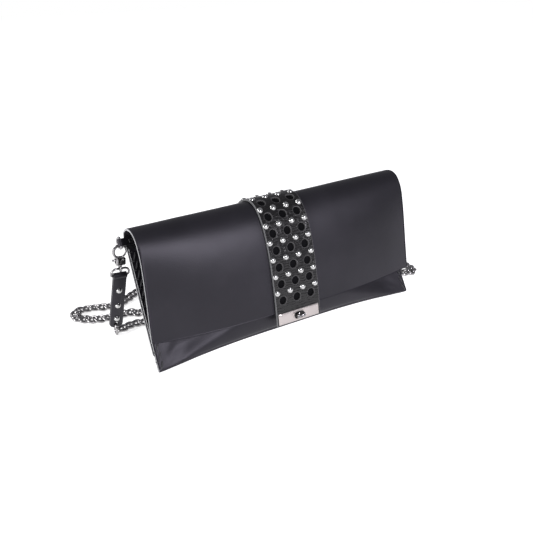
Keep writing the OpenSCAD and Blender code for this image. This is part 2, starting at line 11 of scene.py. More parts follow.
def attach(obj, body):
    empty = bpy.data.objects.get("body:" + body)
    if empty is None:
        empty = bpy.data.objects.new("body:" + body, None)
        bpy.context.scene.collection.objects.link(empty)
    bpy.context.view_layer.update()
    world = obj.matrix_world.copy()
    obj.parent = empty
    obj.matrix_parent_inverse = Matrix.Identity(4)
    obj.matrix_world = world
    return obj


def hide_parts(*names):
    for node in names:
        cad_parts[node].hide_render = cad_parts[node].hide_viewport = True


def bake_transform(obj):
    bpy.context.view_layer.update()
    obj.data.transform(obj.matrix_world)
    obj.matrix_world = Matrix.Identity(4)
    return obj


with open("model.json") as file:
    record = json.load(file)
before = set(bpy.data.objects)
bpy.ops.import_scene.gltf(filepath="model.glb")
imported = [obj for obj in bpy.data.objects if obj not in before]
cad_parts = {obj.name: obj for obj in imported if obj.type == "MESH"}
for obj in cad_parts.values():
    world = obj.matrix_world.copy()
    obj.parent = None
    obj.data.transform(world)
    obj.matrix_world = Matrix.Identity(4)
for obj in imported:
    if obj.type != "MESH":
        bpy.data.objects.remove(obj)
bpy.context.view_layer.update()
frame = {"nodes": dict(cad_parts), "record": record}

# Lengths in this script are in millimetres until a mesh is made, as in the CAD source.
MM = 0.001
random.seed(7)


def in_scene(name, data):
    """A new object that holds the data, linked to the scene."""
    obj = bpy.data.objects.new(name, data)
    bpy.context.scene.collection.objects.link(obj)
    return obj


# ---- Camera -------------------------------------------------------------------------------

LENS, SENSOR = 46.52, 36
CAMERA_AT, CAMERA_AIM = Vector((-351.2, -509.1, 371.7)), Vector((-34.6, -2, 79.8))


def make_camera():
    """Looks at the wallet's front from its left, a little above it."""
    cam = bpy.data.cameras.new("camera")
    cam.lens, cam.sensor_width = LENS, SENSOR
    cam.clip_start, cam.clip_end = 0.01, 20
    holder = in_scene("camera", cam)
    holder.location = CAMERA_AT * MM
    aim = CAMERA_AIM * MM - holder.location
    holder.rotation_euler = aim.to_track_quat("-Z", "Y").to_euler()
    bpy.context.scene.camera = holder


make_camera()


# ---- Making meshes --------------------------------------------------------------------------

class Piece:
    """Gathers the points and faces of one piece, then makes its mesh."""

    def __init__(self):
        self.points, self.faces, self.tones = [], [], []

    def add(self, shape, place=None, tone=0):
        """Adds (points, faces), moved by a matrix; tone is the material's index."""
        points, faces = shape
        first = len(self.points)
        flip = place is not None and place.to_3x3().determinant() < 0
        for p in points:
            p = Vector(p)
            self.points.append(place @ p if place is not None else p)
        for f in faces:
            f = [first + i for i in f]
            self.faces.append(f[::-1] if flip else f)
            self.tones.append(tone)
        return self

    def make(self, name, *materials):
        mesh = bpy.data.meshes.new(name)
        mesh.from_pydata([p * MM for p in self.points], [], self.faces)
        for m in materials:
            mesh.materials.append(m)
        mesh.polygons.foreach_set("material_index", self.tones)
        mesh.polygons.foreach_set("use_smooth", [True] * len(self.tones))
        mesh.validate()
        mesh.update()
        return in_scene(name, mesh)


def from_bmesh(name, mesh, materials):
    """Makes the piece that a bmesh holds."""
    data = bpy.data.meshes.new(name)
    mesh.to_mesh(data)
    mesh.free()
    for m in materials:
        data.materials.append(m)
    return in_scene(name, data)


def circle(sides):
    """The angles of a full turn in equal steps."""
    return [2 * math.pi * k / sides for k in range(sides)]


def bands(rows, sides, closed=False):
    """Faces between neighbouring rings of points; closed joins the last ring to the first."""
    faces = []
    for j in range(rows if closed else rows - 1):
        a, b = j * sides, (j + 1) % rows * sides
        for k in range(sides):
            m = (k + 1) % sides
            faces.append([a + k, a + m, b + m, b + k])
    return faces


def lathe(profile, sides=32):
    """Turns a profile of (radius, height) points round Z; it starts and ends on the axis."""
    points, faces = [(0, 0, profile[0][1])], []
    rings = profile[1:-1]
    for r, z in rings:
        points += [(r * math.cos(a), r * math.sin(a), z) for a in circle(sides)]
    points.append((0, 0, profile[-1][1]))
    last = len(points) - 1
    for k in range(sides):
        n = (k + 1) % sides
        faces.append([0, 1 + n, 1 + k])
        for j in range(len(rings) - 1):
            a, b = 1 + j * sides, 1 + (j + 1) * sides
            faces.append([a + k, a + n, b + n, b + k])
        a = 1 + (len(rings) - 1) * sides
        faces.append([a + k, a + n, last])
    return points, faces


def tube(path, radius, sides=14, closed=False, side_hint=None):
    """A round wire along a path of points; radius is a number or one number for each point.
    An open wire has rounded ends."""
    path = [Vector(p) for p in path]
    n = len(path)
    radii = list(radius) if hasattr(radius, "__len__") else [radius] * n
    if not closed:
        first = (path[1] - path[0]).normalized()
        last = (path[-1] - path[-2]).normalized()
        turns = (80, 55, 28)
        path = ([path[0] - first * radii[0] * math.sin(math.radians(t)) for t in turns] + path
                + [path[-1] + last * radii[-1] * math.sin(math.radians(t)) for t in turns[::-1]])
        radii = ([radii[0] * math.cos(math.radians(t)) for t in turns] + radii
                 + [radii[-1] * math.cos(math.radians(t)) for t in turns[::-1]])
        n = len(path)
    points, side = [], side_hint
    for i, p in enumerate(path):
        before = path[i - 1] if closed or i else p
        after = path[(i + 1) % n] if closed or i < n - 1 else p
        along = (after - before).normalized()
        if side is None:
            side = along.orthogonal()
        side = (Vector(side) - along * along.dot(Vector(side))).normalized()
        other = along.cross(side)
        for a in circle(sides):
            points.append(p + (side * math.cos(a) + other * math.sin(a)) * radii[i])
    faces = bands(n, sides, closed)
    if not closed:
        faces.append(list(range(sides))[::-1])
        faces.append([(n - 1) * sides + k for k in range(sides)])
    return points, faces


def slab(outline, low, high, bevel, rings=2):
    """A plate between two heights with rounded rims; the outline runs anticlockwise."""
    pts = [Vector((*p, 0)) for p in outline]
    n = len(pts)

    def inset(d):
        moved = []
        for i, p in enumerate(pts):
            a, b = (p - pts[i - 1]).normalized(), (pts[(i + 1) % n] - p).normalized()
            na, nb = Vector((-a.y, a.x, 0)), Vector((-b.y, b.x, 0))
            mid = (na + nb).normalized()
            moved.append(p + mid * d / max(0.35, mid.dot(na)))
        return moved
    quarter = [math.pi / 2 * k / rings for k in range(rings + 1)]
    rows = [(bevel * (1 - math.sin(a)), low + bevel * (1 - math.cos(a))) for a in quarter]
    rows += [(bevel * (1 - math.cos(a)), high - bevel * (1 - math.sin(a))) for a in quarter]
    points = [(p.x, p.y, z) for d, z in rows for p in inset(d)]
    faces = bands(len(rows), n)
    faces.append(list(range(n))[::-1])
    faces.append([(len(rows) - 1) * n + k for k in range(n)])
    return points, faces


def arc_points(r, start, end, steps, centre=(0, 0, 0)):
    """Points of an arc in the XZ plane, angles in degrees from +X."""
    c = Vector(centre)
    return [c + Vector((r * math.cos(a), 0, r * math.sin(a)))
            for a in (math.radians(start + (end - start) * i / steps) for i in range(steps + 1))]


# ---- Shader helpers -------------------------------------------------------------------------

class Graph:
    """Short names for adding and linking nodes in one node tree."""

    def __init__(self, tree):
        self.tree = tree

    def node(self, kind, settings=(), **inputs):
        made = self.tree.nodes.new(kind)
        for key, value in dict(settings).items():
            setattr(made, key, value)
        for key, value in inputs.items():
            key = key.replace("_", " ")
            socket = made.inputs[int(key)] if key.isdigit() else made.inputs[key]
            self.feed(socket, value)
        return made

    def feed(self, socket, value):
        if isinstance(value, bpy.types.NodeSocket):
            self.tree.links.new(value, socket)
        else:
            socket.default_value = value

    def math(self, what, a, b=0.0, c=0.0, clamp=False):
        made = self.tree.nodes.new("ShaderNodeMath")
        made.operation, made.use_clamp = what, clamp
        for socket, value in zip(made.inputs, (a, b, c)):
            self.feed(socket, value)
        return made.outputs[0]

    def mix(self, share, a, b):
        made = self.tree.nodes.new("ShaderNodeMix")
        made.data_type = "RGBA"
        for key, value in (("Factor", share), (6, a), (7, b)):
            self.feed(made.inputs[key], value)
        return made.outputs[2]

    def noise(self, spot, scale, detail, **more):
        made = self.node("ShaderNodeTexNoise", Vector=spot, Scale=scale, Detail=detail, **more)
        return made.outputs["Fac"]

    def band(self, value, low, high, to_low=0.0, to_high=1.0):
        made = self.tree.nodes.new("ShaderNodeMapRange")
        made.interpolation_type = "SMOOTHSTEP"
        for socket, v in zip(made.inputs, (value, low, high, to_low, to_high)):
            self.feed(socket, v)
        return made.outputs[0]


def group(name, inputs, outputs):
    """An empty shader group, from inputs (label, kind, value) and outputs (label, kind)."""
    tree = bpy.data.node_groups.new(name, "ShaderNodeTree")
    for label, kind, value in inputs:
        socket = tree.interface.new_socket(label, in_out="INPUT", socket_type=kind)
        socket.default_value = value
    for label, kind in outputs:
        tree.interface.new_socket(label, in_out="OUTPUT", socket_type=kind)
    given, out = tree.nodes.new("NodeGroupInput"), tree.nodes.new("NodeGroupOutput")
    return tree, Graph(tree), given.outputs, out.inputs


FLOAT = "NodeSocketFloat"


def place_in(graph):
    """The point on the object itself, in metres."""
    return graph.node("ShaderNodeTexCoord").outputs["Object"]


def build_hide_grain():
    """Fine pores and soft dimples of smooth leather, as a height and a mottle mask."""
    dials = [("Pore size", FLOAT, 0.5), ("Pores", FLOAT, 1.0), ("Dimples", FLOAT, 1.0)]
    tree, g, given, out = group("hide_grain", dials, [("Height", FLOAT), ("Mottle", FLOAT)])
    at = place_in(g)
    density = g.math("DIVIDE", 1000.0, given["Pore size"])
    cells = g.node("ShaderNodeTexVoronoi", {"feature": "SMOOTH_F1"}, Vector=at, Scale=density,
                   Smoothness=0.6).outputs["Distance"]
    fine = g.noise(at, g.math("MULTIPLY", density, 0.45), 3.0, Roughness=0.6)
    soft = g.noise(at, 38.0, 2.0, Roughness=0.5)
    wide = g.noise(at, 11.0, 4.0, Roughness=0.55)
    pores = g.math("MULTIPLY", g.math("ADD", g.math("MULTIPLY", cells, 0.5), fine), given["Pores"])
    g.feed(out["Height"], g.math("MULTIPLY_ADD", soft, given["Dimples"], pores))
    g.feed(out["Mottle"], g.band(wide, 0.35, 0.7))
    return tree


def build_rub_wear():
    """Edges that handling has polished: 1 on sharp outward edges, broken up by noise."""
    tree, g, given, out = group("rub_wear", [("Amount", FLOAT, 1.0), ("Spread", FLOAT, 0.53)],
                                [("Mask", FLOAT)])
    point = g.node("ShaderNodeNewGeometry").outputs["Pointiness"]
    spots = g.noise(place_in(g), 260.0, 4.0)
    edge = g.band(point, 0.5, given["Spread"])
    worn = g.math("MULTIPLY", edge, g.band(spots, 0.3, 0.7, 0.35, 1.0))
    g.feed(out["Mask"], g.math("MULTIPLY", worn, given["Amount"], clamp=True))
    return tree


def build_hand_marks():
    """Faint smudges and hairline scratches on metal, as a roughness and a height."""
    tree, g, given, out = group("hand_marks", [("Roughness", FLOAT, 0.2), ("Smudge", FLOAT, 0.1)],
                                [("Roughness", FLOAT), ("Height", FLOAT)])
    at = place_in(g)
    smudge = g.noise(at, 140.0, 3.0)
    stretched = g.node("ShaderNodeMapping", Vector=at, Scale=(900.0, 900.0, 60.0)).outputs[0]
    hair = g.noise(stretched, 1.0, 2.0)
    uneven = g.math("SUBTRACT", smudge, 0.5)
    g.feed(out["Roughness"], g.math("MULTIPLY_ADD", uneven, given["Smudge"], given["Roughness"],
                                    clamp=True))
    g.feed(out["Height"], hair)
    return tree


HIDE_GRAIN, RUB_WEAR, HAND_MARKS = build_hide_grain(), build_rub_wear(), build_hand_marks()


def new_material(name):
    material = bpy.data.materials.new(name)
    material.use_nodes = True
    tree = material.node_tree
    return material, Graph(tree), tree.nodes["Principled BSDF"]


def use(g, tree, **inputs):
    """Places a shared group in a material with its own values."""
    made = g.node("ShaderNodeGroup", {"node_tree": tree})
    for key, value in inputs.items():
        g.feed(made.inputs[key.replace("_", " ")], value)
    return made.outputs


def bump(g, height, distance, strength=1.0):
    return g.node("ShaderNodeBump", Height=height, Distance=distance, Strength=strength).outputs[0]


def smooth_leather(name, dark, light, roughness, grain, pore=0.55):
    """Dyed smooth leather with fine pores and a soft gloss."""
    material, g, skin = new_material(name)
    hide = use(g, HIDE_GRAIN, Pore_size=pore, Pores=1.0, Dimples=2.2)
    g.feed(skin.inputs["Base Color"], g.mix(hide["Mottle"], (*dark, 1), (*light, 1)))
    g.feed(skin.inputs["Roughness"], g.math("MULTIPLY_ADD", hide["Mottle"], 0.06, roughness))
    g.feed(skin.inputs["Normal"], bump(g, hide["Height"], grain))
    skin.inputs["Specular IOR Level"].default_value = 0.3
    skin.inputs["Specular Tint"].default_value = (0.93, 0.90, 1.0, 1)
    return material


def cut_edge(name, tone):
    """The raw fibrous edge of cut leather, lightly dyed."""
    material, g, skin = new_material(name)
    fibre = g.noise(place_in(g), 1400.0, 3.0)
    broad = g.noise(place_in(g), 90.0, 2.0)
    mottle = g.math("MULTIPLY_ADD", broad, 0.6, g.math("MULTIPLY", fibre, 0.5))
    dark = tuple(c * 0.45 for c in tone)
    g.feed(skin.inputs["Base Color"], g.mix(mottle, (*dark, 1), (*tone, 1)))
    g.feed(skin.inputs["Normal"], bump(g, fibre, 0.00015))
    skin.inputs["Roughness"].default_value = 0.75
    return material


def metal(name, tone, worn_tone, roughness, smudge=0.1, grain=0.00001):
    """Plated metal with smudges and edges where the plating has rubbed brighter."""
    material, g, skin = new_material(name)
    marks = use(g, HAND_MARKS, Roughness=roughness, Smudge=smudge)
    worn = use(g, RUB_WEAR, Amount=0.5, Spread=0.56)["Mask"]
    g.feed(skin.inputs["Base Color"], g.mix(worn, (*tone, 1), (*worn_tone, 1)))
    g.feed(skin.inputs["Roughness"], marks["Roughness"])
    g.feed(skin.inputs["Normal"], bump(g, marks["Height"], grain))
    skin.inputs["Metallic"].default_value = 1.0
    return material


HIDE = smooth_leather("dyed_hide", (0.0095, 0.009, 0.0115), (0.016, 0.015, 0.019), 0.40, 0.00006)
SUEDE = smooth_leather("hide_flesh_side", (0.018, 0.0175, 0.02), (0.03, 0.029, 0.033), 0.85,
                       0.0003, 0.9)
CUT = cut_edge("cut_edge_grey", (0.52, 0.52, 0.53))
GUNMETAL = metal("black_nickel", (0.22, 0.215, 0.22), (0.46, 0.45, 0.45), 0.15)
STEEL = metal("polished_stud", (0.46, 0.46, 0.455), (0.66, 0.66, 0.65), 0.21)
PLATE = metal("satin_plate", (0.46, 0.42, 0.41), (0.66, 0.62, 0.60), 0.30)


# ---- Chain ----------------------------------------------------------------------------------

ROUTE = [(-158.4, 84.6), (-150, 88), (-138, 89), (-118, 86), (-60, 88), (20, 92), (78, 94),
         (102, 104), (102, 124), (78, 132), (20, 124), (-60, 112), (-118, 106), (-132, 113),
         (-146, 116), (-160, 116), (-176, 122), (-187, 134), (-181, 146), (-166, 145),
         (-146, 138), (-128, 143), (-108, 154), (-60, 162), (20, 164), (100, 152),
         (158, 114), (188, 68), (196, 44), (191, 29), (180, 31), (172, 48), (166, 62),
         (163, 73.5)]
CHAIN_Z = 2.8
LINK_PITCH = 8.2
LINK_WIRE = 1.75


def smooth_route(route, steps=12):
    """A Catmull-Rom curve through the route's points."""
    r = [np.array(p, float) for p in route]
    r = [r[0]] + r + [r[-1]]
    line = []
    for a, b, c, d in zip(r, r[1:], r[2:], r[3:]):
        for k in range(steps):
            t = k / steps
            line.append(0.5 * (2 * b + (c - a) * t + (2 * a - 5 * b + 4 * c - d) * t * t
                               + (3 * b - 3 * c + d - a) * t ** 3))
    return np.array(line + [r[-1]])


def run_along(line):
    """The distance along a polyline at each of its points."""
    return np.concatenate([[0], np.cumsum(np.linalg.norm(np.diff(line, axis=0), axis=1))])


def sample(line, run, spots):
    """A polyline's points at some distances along it."""
    return np.column_stack([np.interp(spots, run, line[:, k]) for k in range(line.shape[1])])


def along_line(line, distances, reach=0.6):
    """Points and directions at distances along a polyline, and its length."""
    run, distances = run_along(line), np.array(distances)
    way = sample(line, run, distances + reach) - sample(line, run, distances - reach)
    return sample(line, run, distances), way / np.linalg.norm(way, axis=1)[:, None], run[-1]


def curb_link(half_l=5.6, half_w=4.2, twist=0.8, steps=28):
    """One twisted link of a curb chain, along X and lying flat."""
    path = [(half_l * math.cos(a), half_w * math.sin(a) * (1 - 0.08 * math.cos(2 * a)),
             twist * math.sin(2 * a)) for a in circle(steps)]
    return tube(path, LINK_WIRE, sides=10, closed=True, side_hint=(0, 0, 1))


def make_chain():
    line = smooth_route(ROUTE)
    total = along_line(line, [0])[2]
    count = int(total / LINK_PITCH)
    first = (total - (count - 1) * LINK_PITCH) / 2
    spots, ways, _ = along_line(line, [first + LINK_PITCH * k for k in range(count)])
    link, chain = curb_link(), Piece()
    for (x, y), (dx, dy) in zip(spots, ways):
        turn = Matrix.Rotation(math.atan2(dy, dx) + math.radians(random.uniform(-2.5, 2.5)), 4, "Z")
        roll = Matrix.Rotation(math.radians(random.uniform(-5, 5)), 4, "X")
        chain.add(link, Matrix.Translation((x, y, CHAIN_Z)) @ turn @ roll)
    obj = chain.make("curb_chain", GUNMETAL)
    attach(obj, "pouch")
    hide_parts("chain", "left_end_link", "right_end_link")


make_chain()


# ---- The pouch's own lines ----------------------------------------------------------------

LEAN = math.radians(29.5)
HALF_L, MARGIN, STRAIGHT = 150.0, 7.0, 30.0
POUCH_D, SWELL, BACK_SWELL, HIDE_T = 121.0, 31.0, 8.0, 2.0
MOUTH_S, SEAM_TOP_S, FOLD_S, BOTTOM_RISE = 105.0, 118.0, 130.0, 4.0
FLAP_HALF = 151.0


def at(s, f):
    """The [y, z] point at distance s up the leaning side and f forward of it."""
    return np.array([s * math.sin(LEAN) - f * math.cos(LEAN),
                     s * math.cos(LEAN) + f * math.sin(LEAN)])


FINE = 900


def unit(v):
    return np.array(v, float) / np.linalg.norm(v)


CREST, EDGE = at(POUCH_D + 13, SWELL - 4), at(20, SWELL * 0.58 + 1.9)
DOWN_TONGUE = -unit([0.17, 0.985])
END_DRAW, CREST_SKEW, EDGE_SKEW = np.array([12.5, 1]), np.array([-6, 4]), np.array([-4.5, 2.5])
TONGUE_L, STRAP_T, STRAP_W, STRAP_X = 13.5, 2.4, 52.0, -1.5


def fullness(x):
    """How far open the pouch is: 1 in the middle stretch, 0 at the stitched margin."""
    out = min(1.0, max(0.0, (abs(x) - STRAIGHT) / (HALF_L - MARGIN - STRAIGHT)))
    soft = 1 - out * out
    return soft * soft * (3 - 2 * soft) * 0.25 + soft * 0.75


def flap_out(x):
    out = max(0.0, (abs(x) - STRAIGHT) / (HALF_L - STRAIGHT))
    return 1.08 * out * out / (out + 0.08)


def cubic(p, t):
    return ((1 - t) ** 3 * p[0] + 3 * (1 - t) ** 2 * t * p[1] + 3 * (1 - t) * t * t * p[2]
            + t ** 3 * p[3])


def even_line(line, count, blur=0.0):
    """A polyline resampled at even distances, its bends softened by a blur in millimetres."""
    line = np.array(line)
    run = run_along(line)
    dense = sample(line, run, np.linspace(0, run[-1], FINE))
    if blur:
        reach = int(3 * blur / (run[-1] / (FINE - 1)))
        weights = np.exp(-0.5 * (np.arange(-reach, reach + 1) / (reach / 3)) ** 2)
        weights /= weights.sum()
        ahead = 2 * dense[0] - dense[reach:0:-1]
        behind = 2 * dense[-1] - dense[-2:-reach - 2:-1]
        pad = np.vstack([ahead, dense, behind])
        dense = np.column_stack([np.convolve(pad[:, k], weights, "valid") for k in (0, 1)])
    run = run_along(dense)
    return sample(dense, run, np.linspace(0, run[-1], count))


def normals_of(line):
    """Unit normals to the right of the way along a line."""
    way = np.gradient(line, axis=0)
    way /= np.linalg.norm(way, axis=1)[:, None]
    return np.column_stack([way[:, 1], -way[:, 0]])


def back_f(x, s):
    return -HIDE_T - BACK_SWELL * 4 * (s / FOLD_S) * (1 - s / FOLD_S) * fullness(x)


def flap_line(x):
    """Outer face of the back and the flap, from low on the back over the fold to the lower edge."""
    out, turn = flap_out(x), math.copysign(1, x) if x else 0
    crest = CREST + turn * out * CREST_SKEW
    edge = EDGE + out * out * END_DRAW + turn * out * EDGE_SKEW
    start = at(FOLD_S, -HIDE_T)
    low = SPLIT_S + BOTTOM_RISE * fullness(x)
    back = [at(s, back_f(x, s)) for s in np.linspace(low, FOLD_S, 40)]
    rise = [cubic([start, start + 6 * unit(at(1, 0)), crest + [12, 0], crest], t)
            for t in np.linspace(0, 1, 30)[1:]]
    fall = [cubic([crest, crest - [24, 0], edge - 60 * DOWN_TONGUE, edge], t)
            for t in np.linspace(0, 1, 80)[1:]]
    return back + rise + fall


SPLIT_S = 16.0
FOLD_BLUR = 2.2


def pouch_line(x):
    """Outer face of the front panel from its mouth down, round the bottom fold and up the back."""
    full = fullness(x)
    low = BOTTOM_RISE * full
    top = SEAM_TOP_S + (MOUTH_S - SEAM_TOP_S) * full
    front = []
    for u in (1 - np.linspace(0, 1, 120) ** 0.6)[:-1]:
        s = low + HIDE_T + u * (top - low - HIDE_T)
        front.append(at(s, HIDE_T + SWELL * full * u ** 0.55))
    bend = [at(low + HIDE_T - HIDE_T * math.sin(a), HIDE_T * math.cos(a))
            for a in np.linspace(0, math.pi, 9)]
    back = [at(s, back_f(x, s))
            for s in np.linspace(low + HIDE_T, SPLIT_S + BOTTOM_RISE * full, 8)[1:]]
    return front + bend + back


# ---- Leather sheets -----------------------------------------------------------------------

def splay(x, y, z):
    """The hide's lower corners stand a little out and forward."""
    low = max(0.0, 1 - z / 105)
    return Vector((x * (1 + 0.022 * low), y - 2.6 * (abs(x) / HALF_L) ** 3 * low ** 2, z))


def sheet_grid(xs, line_at, count, blur, relief, thickness):
    """Outer and inner points of a leather sheet, one line across for each x."""
    outer, inner = [], []
    for x in xs:
        line = even_line(line_at(x), count, blur)
        normal = normals_of(line)
        rise = np.array([relief(x, p[0], p[1], k / (count - 1)) for k, p in enumerate(line)])
        top = line + normal * rise[:, None]
        under = line + normal * (rise - thickness)[:, None]
        outer.append([splay(x, p[0], p[1]) for p in top])
        inner.append([splay(x, p[0], p[1]) for p in under])
    return outer, inner


def sheet_piece(name, outer, inner, rows, cut_rows, materials, round_off=0.4):
    """A closed leather sheet from some rows of its grid. cut_rows says which of the two row ends
    are real cut edges; the other end meets the next piece of the same hide."""
    first, last = rows
    n_x, n_r = len(outer), last - first + 1
    mesh = bmesh.new()
    sides = []
    for grid in (outer, inner):
        sides.append([[mesh.verts.new(grid[i][j] * MM) for j in range(first, last + 1)]
                      for i in range(n_x)])
    top, under = sides
    for i in range(n_x - 1):
        for j in range(n_r - 1):
            mesh.faces.new([top[i][j], top[i + 1][j], top[i + 1][j + 1], top[i][j + 1]])
            mesh.faces.new([under[i][j], under[i][j + 1], under[i + 1][j + 1], under[i + 1][j]]
                           ).material_index = 1
    rims = []

    def wall(a, b, c, d, cut):
        face = mesh.faces.new([a, b, c, d])
        face.material_index = 2 if cut else 0
        face.smooth = cut
        if cut:
            rims.extend([mesh.edges.get((a, b)), mesh.edges.get((c, d))])
        else:
            for e in (mesh.edges.get((a, b)), mesh.edges.get((c, d))):
                e.smooth = False
    for j in range(n_r - 1):
        wall(top[0][j], top[0][j + 1], under[0][j + 1], under[0][j], True)
        wall(top[-1][j + 1], top[-1][j], under[-1][j], under[-1][j + 1], True)
    for i in range(n_x - 1):
        wall(top[i + 1][0], top[i][0], under[i][0], under[i + 1][0], cut_rows[0])
        wall(top[i][-1], top[i + 1][-1], under[i + 1][-1], under[i][-1], cut_rows[1])
    for f in mesh.faces:
        if f.material_index < 2:
            f.smooth = True
    bmesh.ops.bevel(mesh, geom=rims, offset=round_off * MM, segments=2, profile=0.6,
                    affect="EDGES", clamp_overlap=True, material=-1)
    bmesh.ops.recalc_face_normals(mesh, faces=mesh.faces)
    return from_bmesh(name, mesh, materials)


def stations(half, spacing=2.6):
    n = int(2 * half / spacing)
    return [-half + 2 * half * i / n for i in range(n + 1)]


def soft_dents(x, y, z, size, depth):
    """Slow unevenness of worked leather."""
    return depth * noise.noise(Vector((x, y, z)) / size)


def smooth_step(low, high, value):
    t = min(1.0, max(0.0, (value - low) / (high - low)))
    return t * t * (3 - 2 * t)


def flap_relief(x, y, z, t):
    return soft_dents(x, y, z, 60, 0.5) + soft_dents(x + 400, y, z, 26, 0.12)


def pouch_relief(x, y, z, t):
    """The dip over each lower corner, where the bulge is pinched into the seam, and its gathers."""
    if t > 0.93:
        return 0.0
    out = abs(x)
    ends = smooth_step(45, 85, out) * (1 - smooth_step(116, 148, out))
    ridge = 5 + (147 - out) * 0.29
    dip = 5.0 * smooth_step(ridge - 9, ridge + 8, z) * (1 - smooth_step(55, 95, z))
    turn = math.atan2(z - 1.0, 149 - out)
    gather = (0.3 * math.sin(turn * 15.0) * max(0.0, 1 - abs(out - 132) / 18)
              * (1 - smooth_step(20, 50, z)))
    even = soft_dents(x, y, z, 45, 0.35) * min(1.0, max(0.0, (146 - out) / 20)) * (z > 6)
    return (gather - dip) * ends + even


POUCH_ROWS, FLAP_ROWS, CREST_ROW = 130, 190, 112


def make_hides():
    leather = (HIDE, SUEDE, CUT)
    outer, inner = sheet_grid(stations(HALF_L), pouch_line, POUCH_ROWS, 0, pouch_relief,
                              HIDE_T - 0.06)
    pouch = sheet_piece("pouch_hide", outer, inner, (0, POUCH_ROWS - 1), (True, False), leather)
    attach(pouch, "pouch")
    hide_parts("front_panel")
    outer, inner = sheet_grid(stations(FLAP_HALF), flap_line, FLAP_ROWS, FOLD_BLUR, flap_relief,
                              HIDE_T)
    fold = sheet_piece("fold_hide", outer, inner, (0, CREST_ROW), (False, False), leather)
    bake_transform(fold)
    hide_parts("back_panel")
    flap = sheet_piece("flap_hide", outer, inner, (CREST_ROW, FLAP_ROWS - 1), (False, True),
                       leather)
    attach(flap, "flap")
    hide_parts("flap")


POCKET_L, POCKET_LOW, POCKET_HIGH, POCKET_T, POCKET_GAP = 150.0, 42.0, 92.0, 1.4, 0.45


def make_pocket():
    """A slip pocket inside the back, a little slack at its mouth."""
    def line_at(x):
        lift = HIDE_T + POCKET_GAP + POCKET_T
        slack = 1.2 * max(0.0, 1 - (x / 70) ** 2)
        return [at(s, back_f(x, s) + lift + slack * smooth_step(70, POCKET_HIGH, s))
                for s in np.linspace(POCKET_LOW, POCKET_HIGH, 24)][::-1]
    xs = [-POCKET_L / 2 + POCKET_L * i / 60 for i in range(61)]
    outer, inner = sheet_grid(xs, line_at, 26, 0,
                              lambda x, y, z, t: soft_dents(x, y, z, 30, 0.1), POCKET_T)
    pocket = sheet_piece("slip_pocket", outer, inner, (0, 25), (True, True),
                         (HIDE, SUEDE, CUT), 0.3)
    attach(pocket, "pouch")
    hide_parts("inner_pocket")


make_hides()
make_pocket()


# ---- Studded strap ------------------------------------------------------------------------

ROW_PITCH, FIRST_ROW, STUD_ROWS, STUD_PITCH = 17.1, 18.9, 8, 15.1
HOLE_PITCH, HOLE_R = STUD_PITCH * 1.12, 4.25
STRAP_BACK_L, BACK_ROWS = 46.0, (15.4, 32.5)
COLUMNS = (-1.5, -0.5, 0.5, 1.5)
PLATE_L, PLATE_H, PLATE_T = 48.5, 11.8, 1.2
STRAP_LIFT = 0.05


def strap_path():
    """The strap's under face: up the back, over the fold, down the flap and past its edge. Returns
    the line, its outward normals, the distances along its top face, and the fold's distance."""
    full = even_line(flap_line(STRAP_X), FINE, FOLD_BLUR)
    normal = normals_of(full)
    full = full + normal * STRAP_LIFT
    run = run_along(full)
    fold = at(FOLD_S, -HIDE_T)
    at_fold = run[np.argmin(np.linalg.norm(full - fold, axis=1))]
    keep = run >= at_fold - STRAP_BACK_L
    line = np.vstack([full[keep], full[-1] + DOWN_TONGUE * 0.5 * TONGUE_L,
                      full[-1] + DOWN_TONGUE * TONGUE_L])
    line = even_line(line, FINE)
    normal = normals_of(line)
    top = line + normal * STRAP_T
    run = run_along(top)
    return line, normal, run, run[np.argmin(np.linalg.norm(line - fold, axis=1))]


STRAP_LINE, STRAP_NORMAL, STRAP_RUN, AT_FOLD = strap_path()


def on_strap(a, v, h):
    """The point at distance a from the strap's back end, v across it and h out of its top face."""
    p = np.array([np.interp(a, STRAP_RUN, STRAP_LINE[:, k]) for k in (0, 1)])
    n = unit([np.interp(a, STRAP_RUN, STRAP_NORMAL[:, k]) for k in (0, 1)])
    p = p + n * (STRAP_T + h)
    return Vector((STRAP_X + v, p[0], p[1])), n


def facing(n, spot):
    """A matrix at a spot, with X along the wallet and Z along the [y, z] direction n."""
    x, z = Vector((1, 0, 0)), Vector((0, n[0], n[1]))
    m = Matrix((x, z.cross(x), z)).transposed().to_4x4()
    m.translation = spot
    return m


def strap_place(a, v, h=0.0):
    """A matrix with Z out of the strap and X across it."""
    p, n = on_strap(a, v, h)
    return facing(n, p)


def ripple(a, v):
    """Height of the embossed ripples: wavy creases that run across the strap."""
    bend = 1.5 * noise.noise(Vector((a / 9, v / 7, 3.1)))
    bend += 0.7 * noise.noise(Vector((a / 3.2, v / 3, 8.7)))
    crease = math.sin((a + 2.4 * bend) * 2 * math.pi / 2.5)
    patch = noise.noise(Vector((a / 6.5, v / 4.2, 21.0)))
    return 0.09 * max(-0.75, crease) * min(1.0, max(0.15, 0.75 + 1.3 * patch))


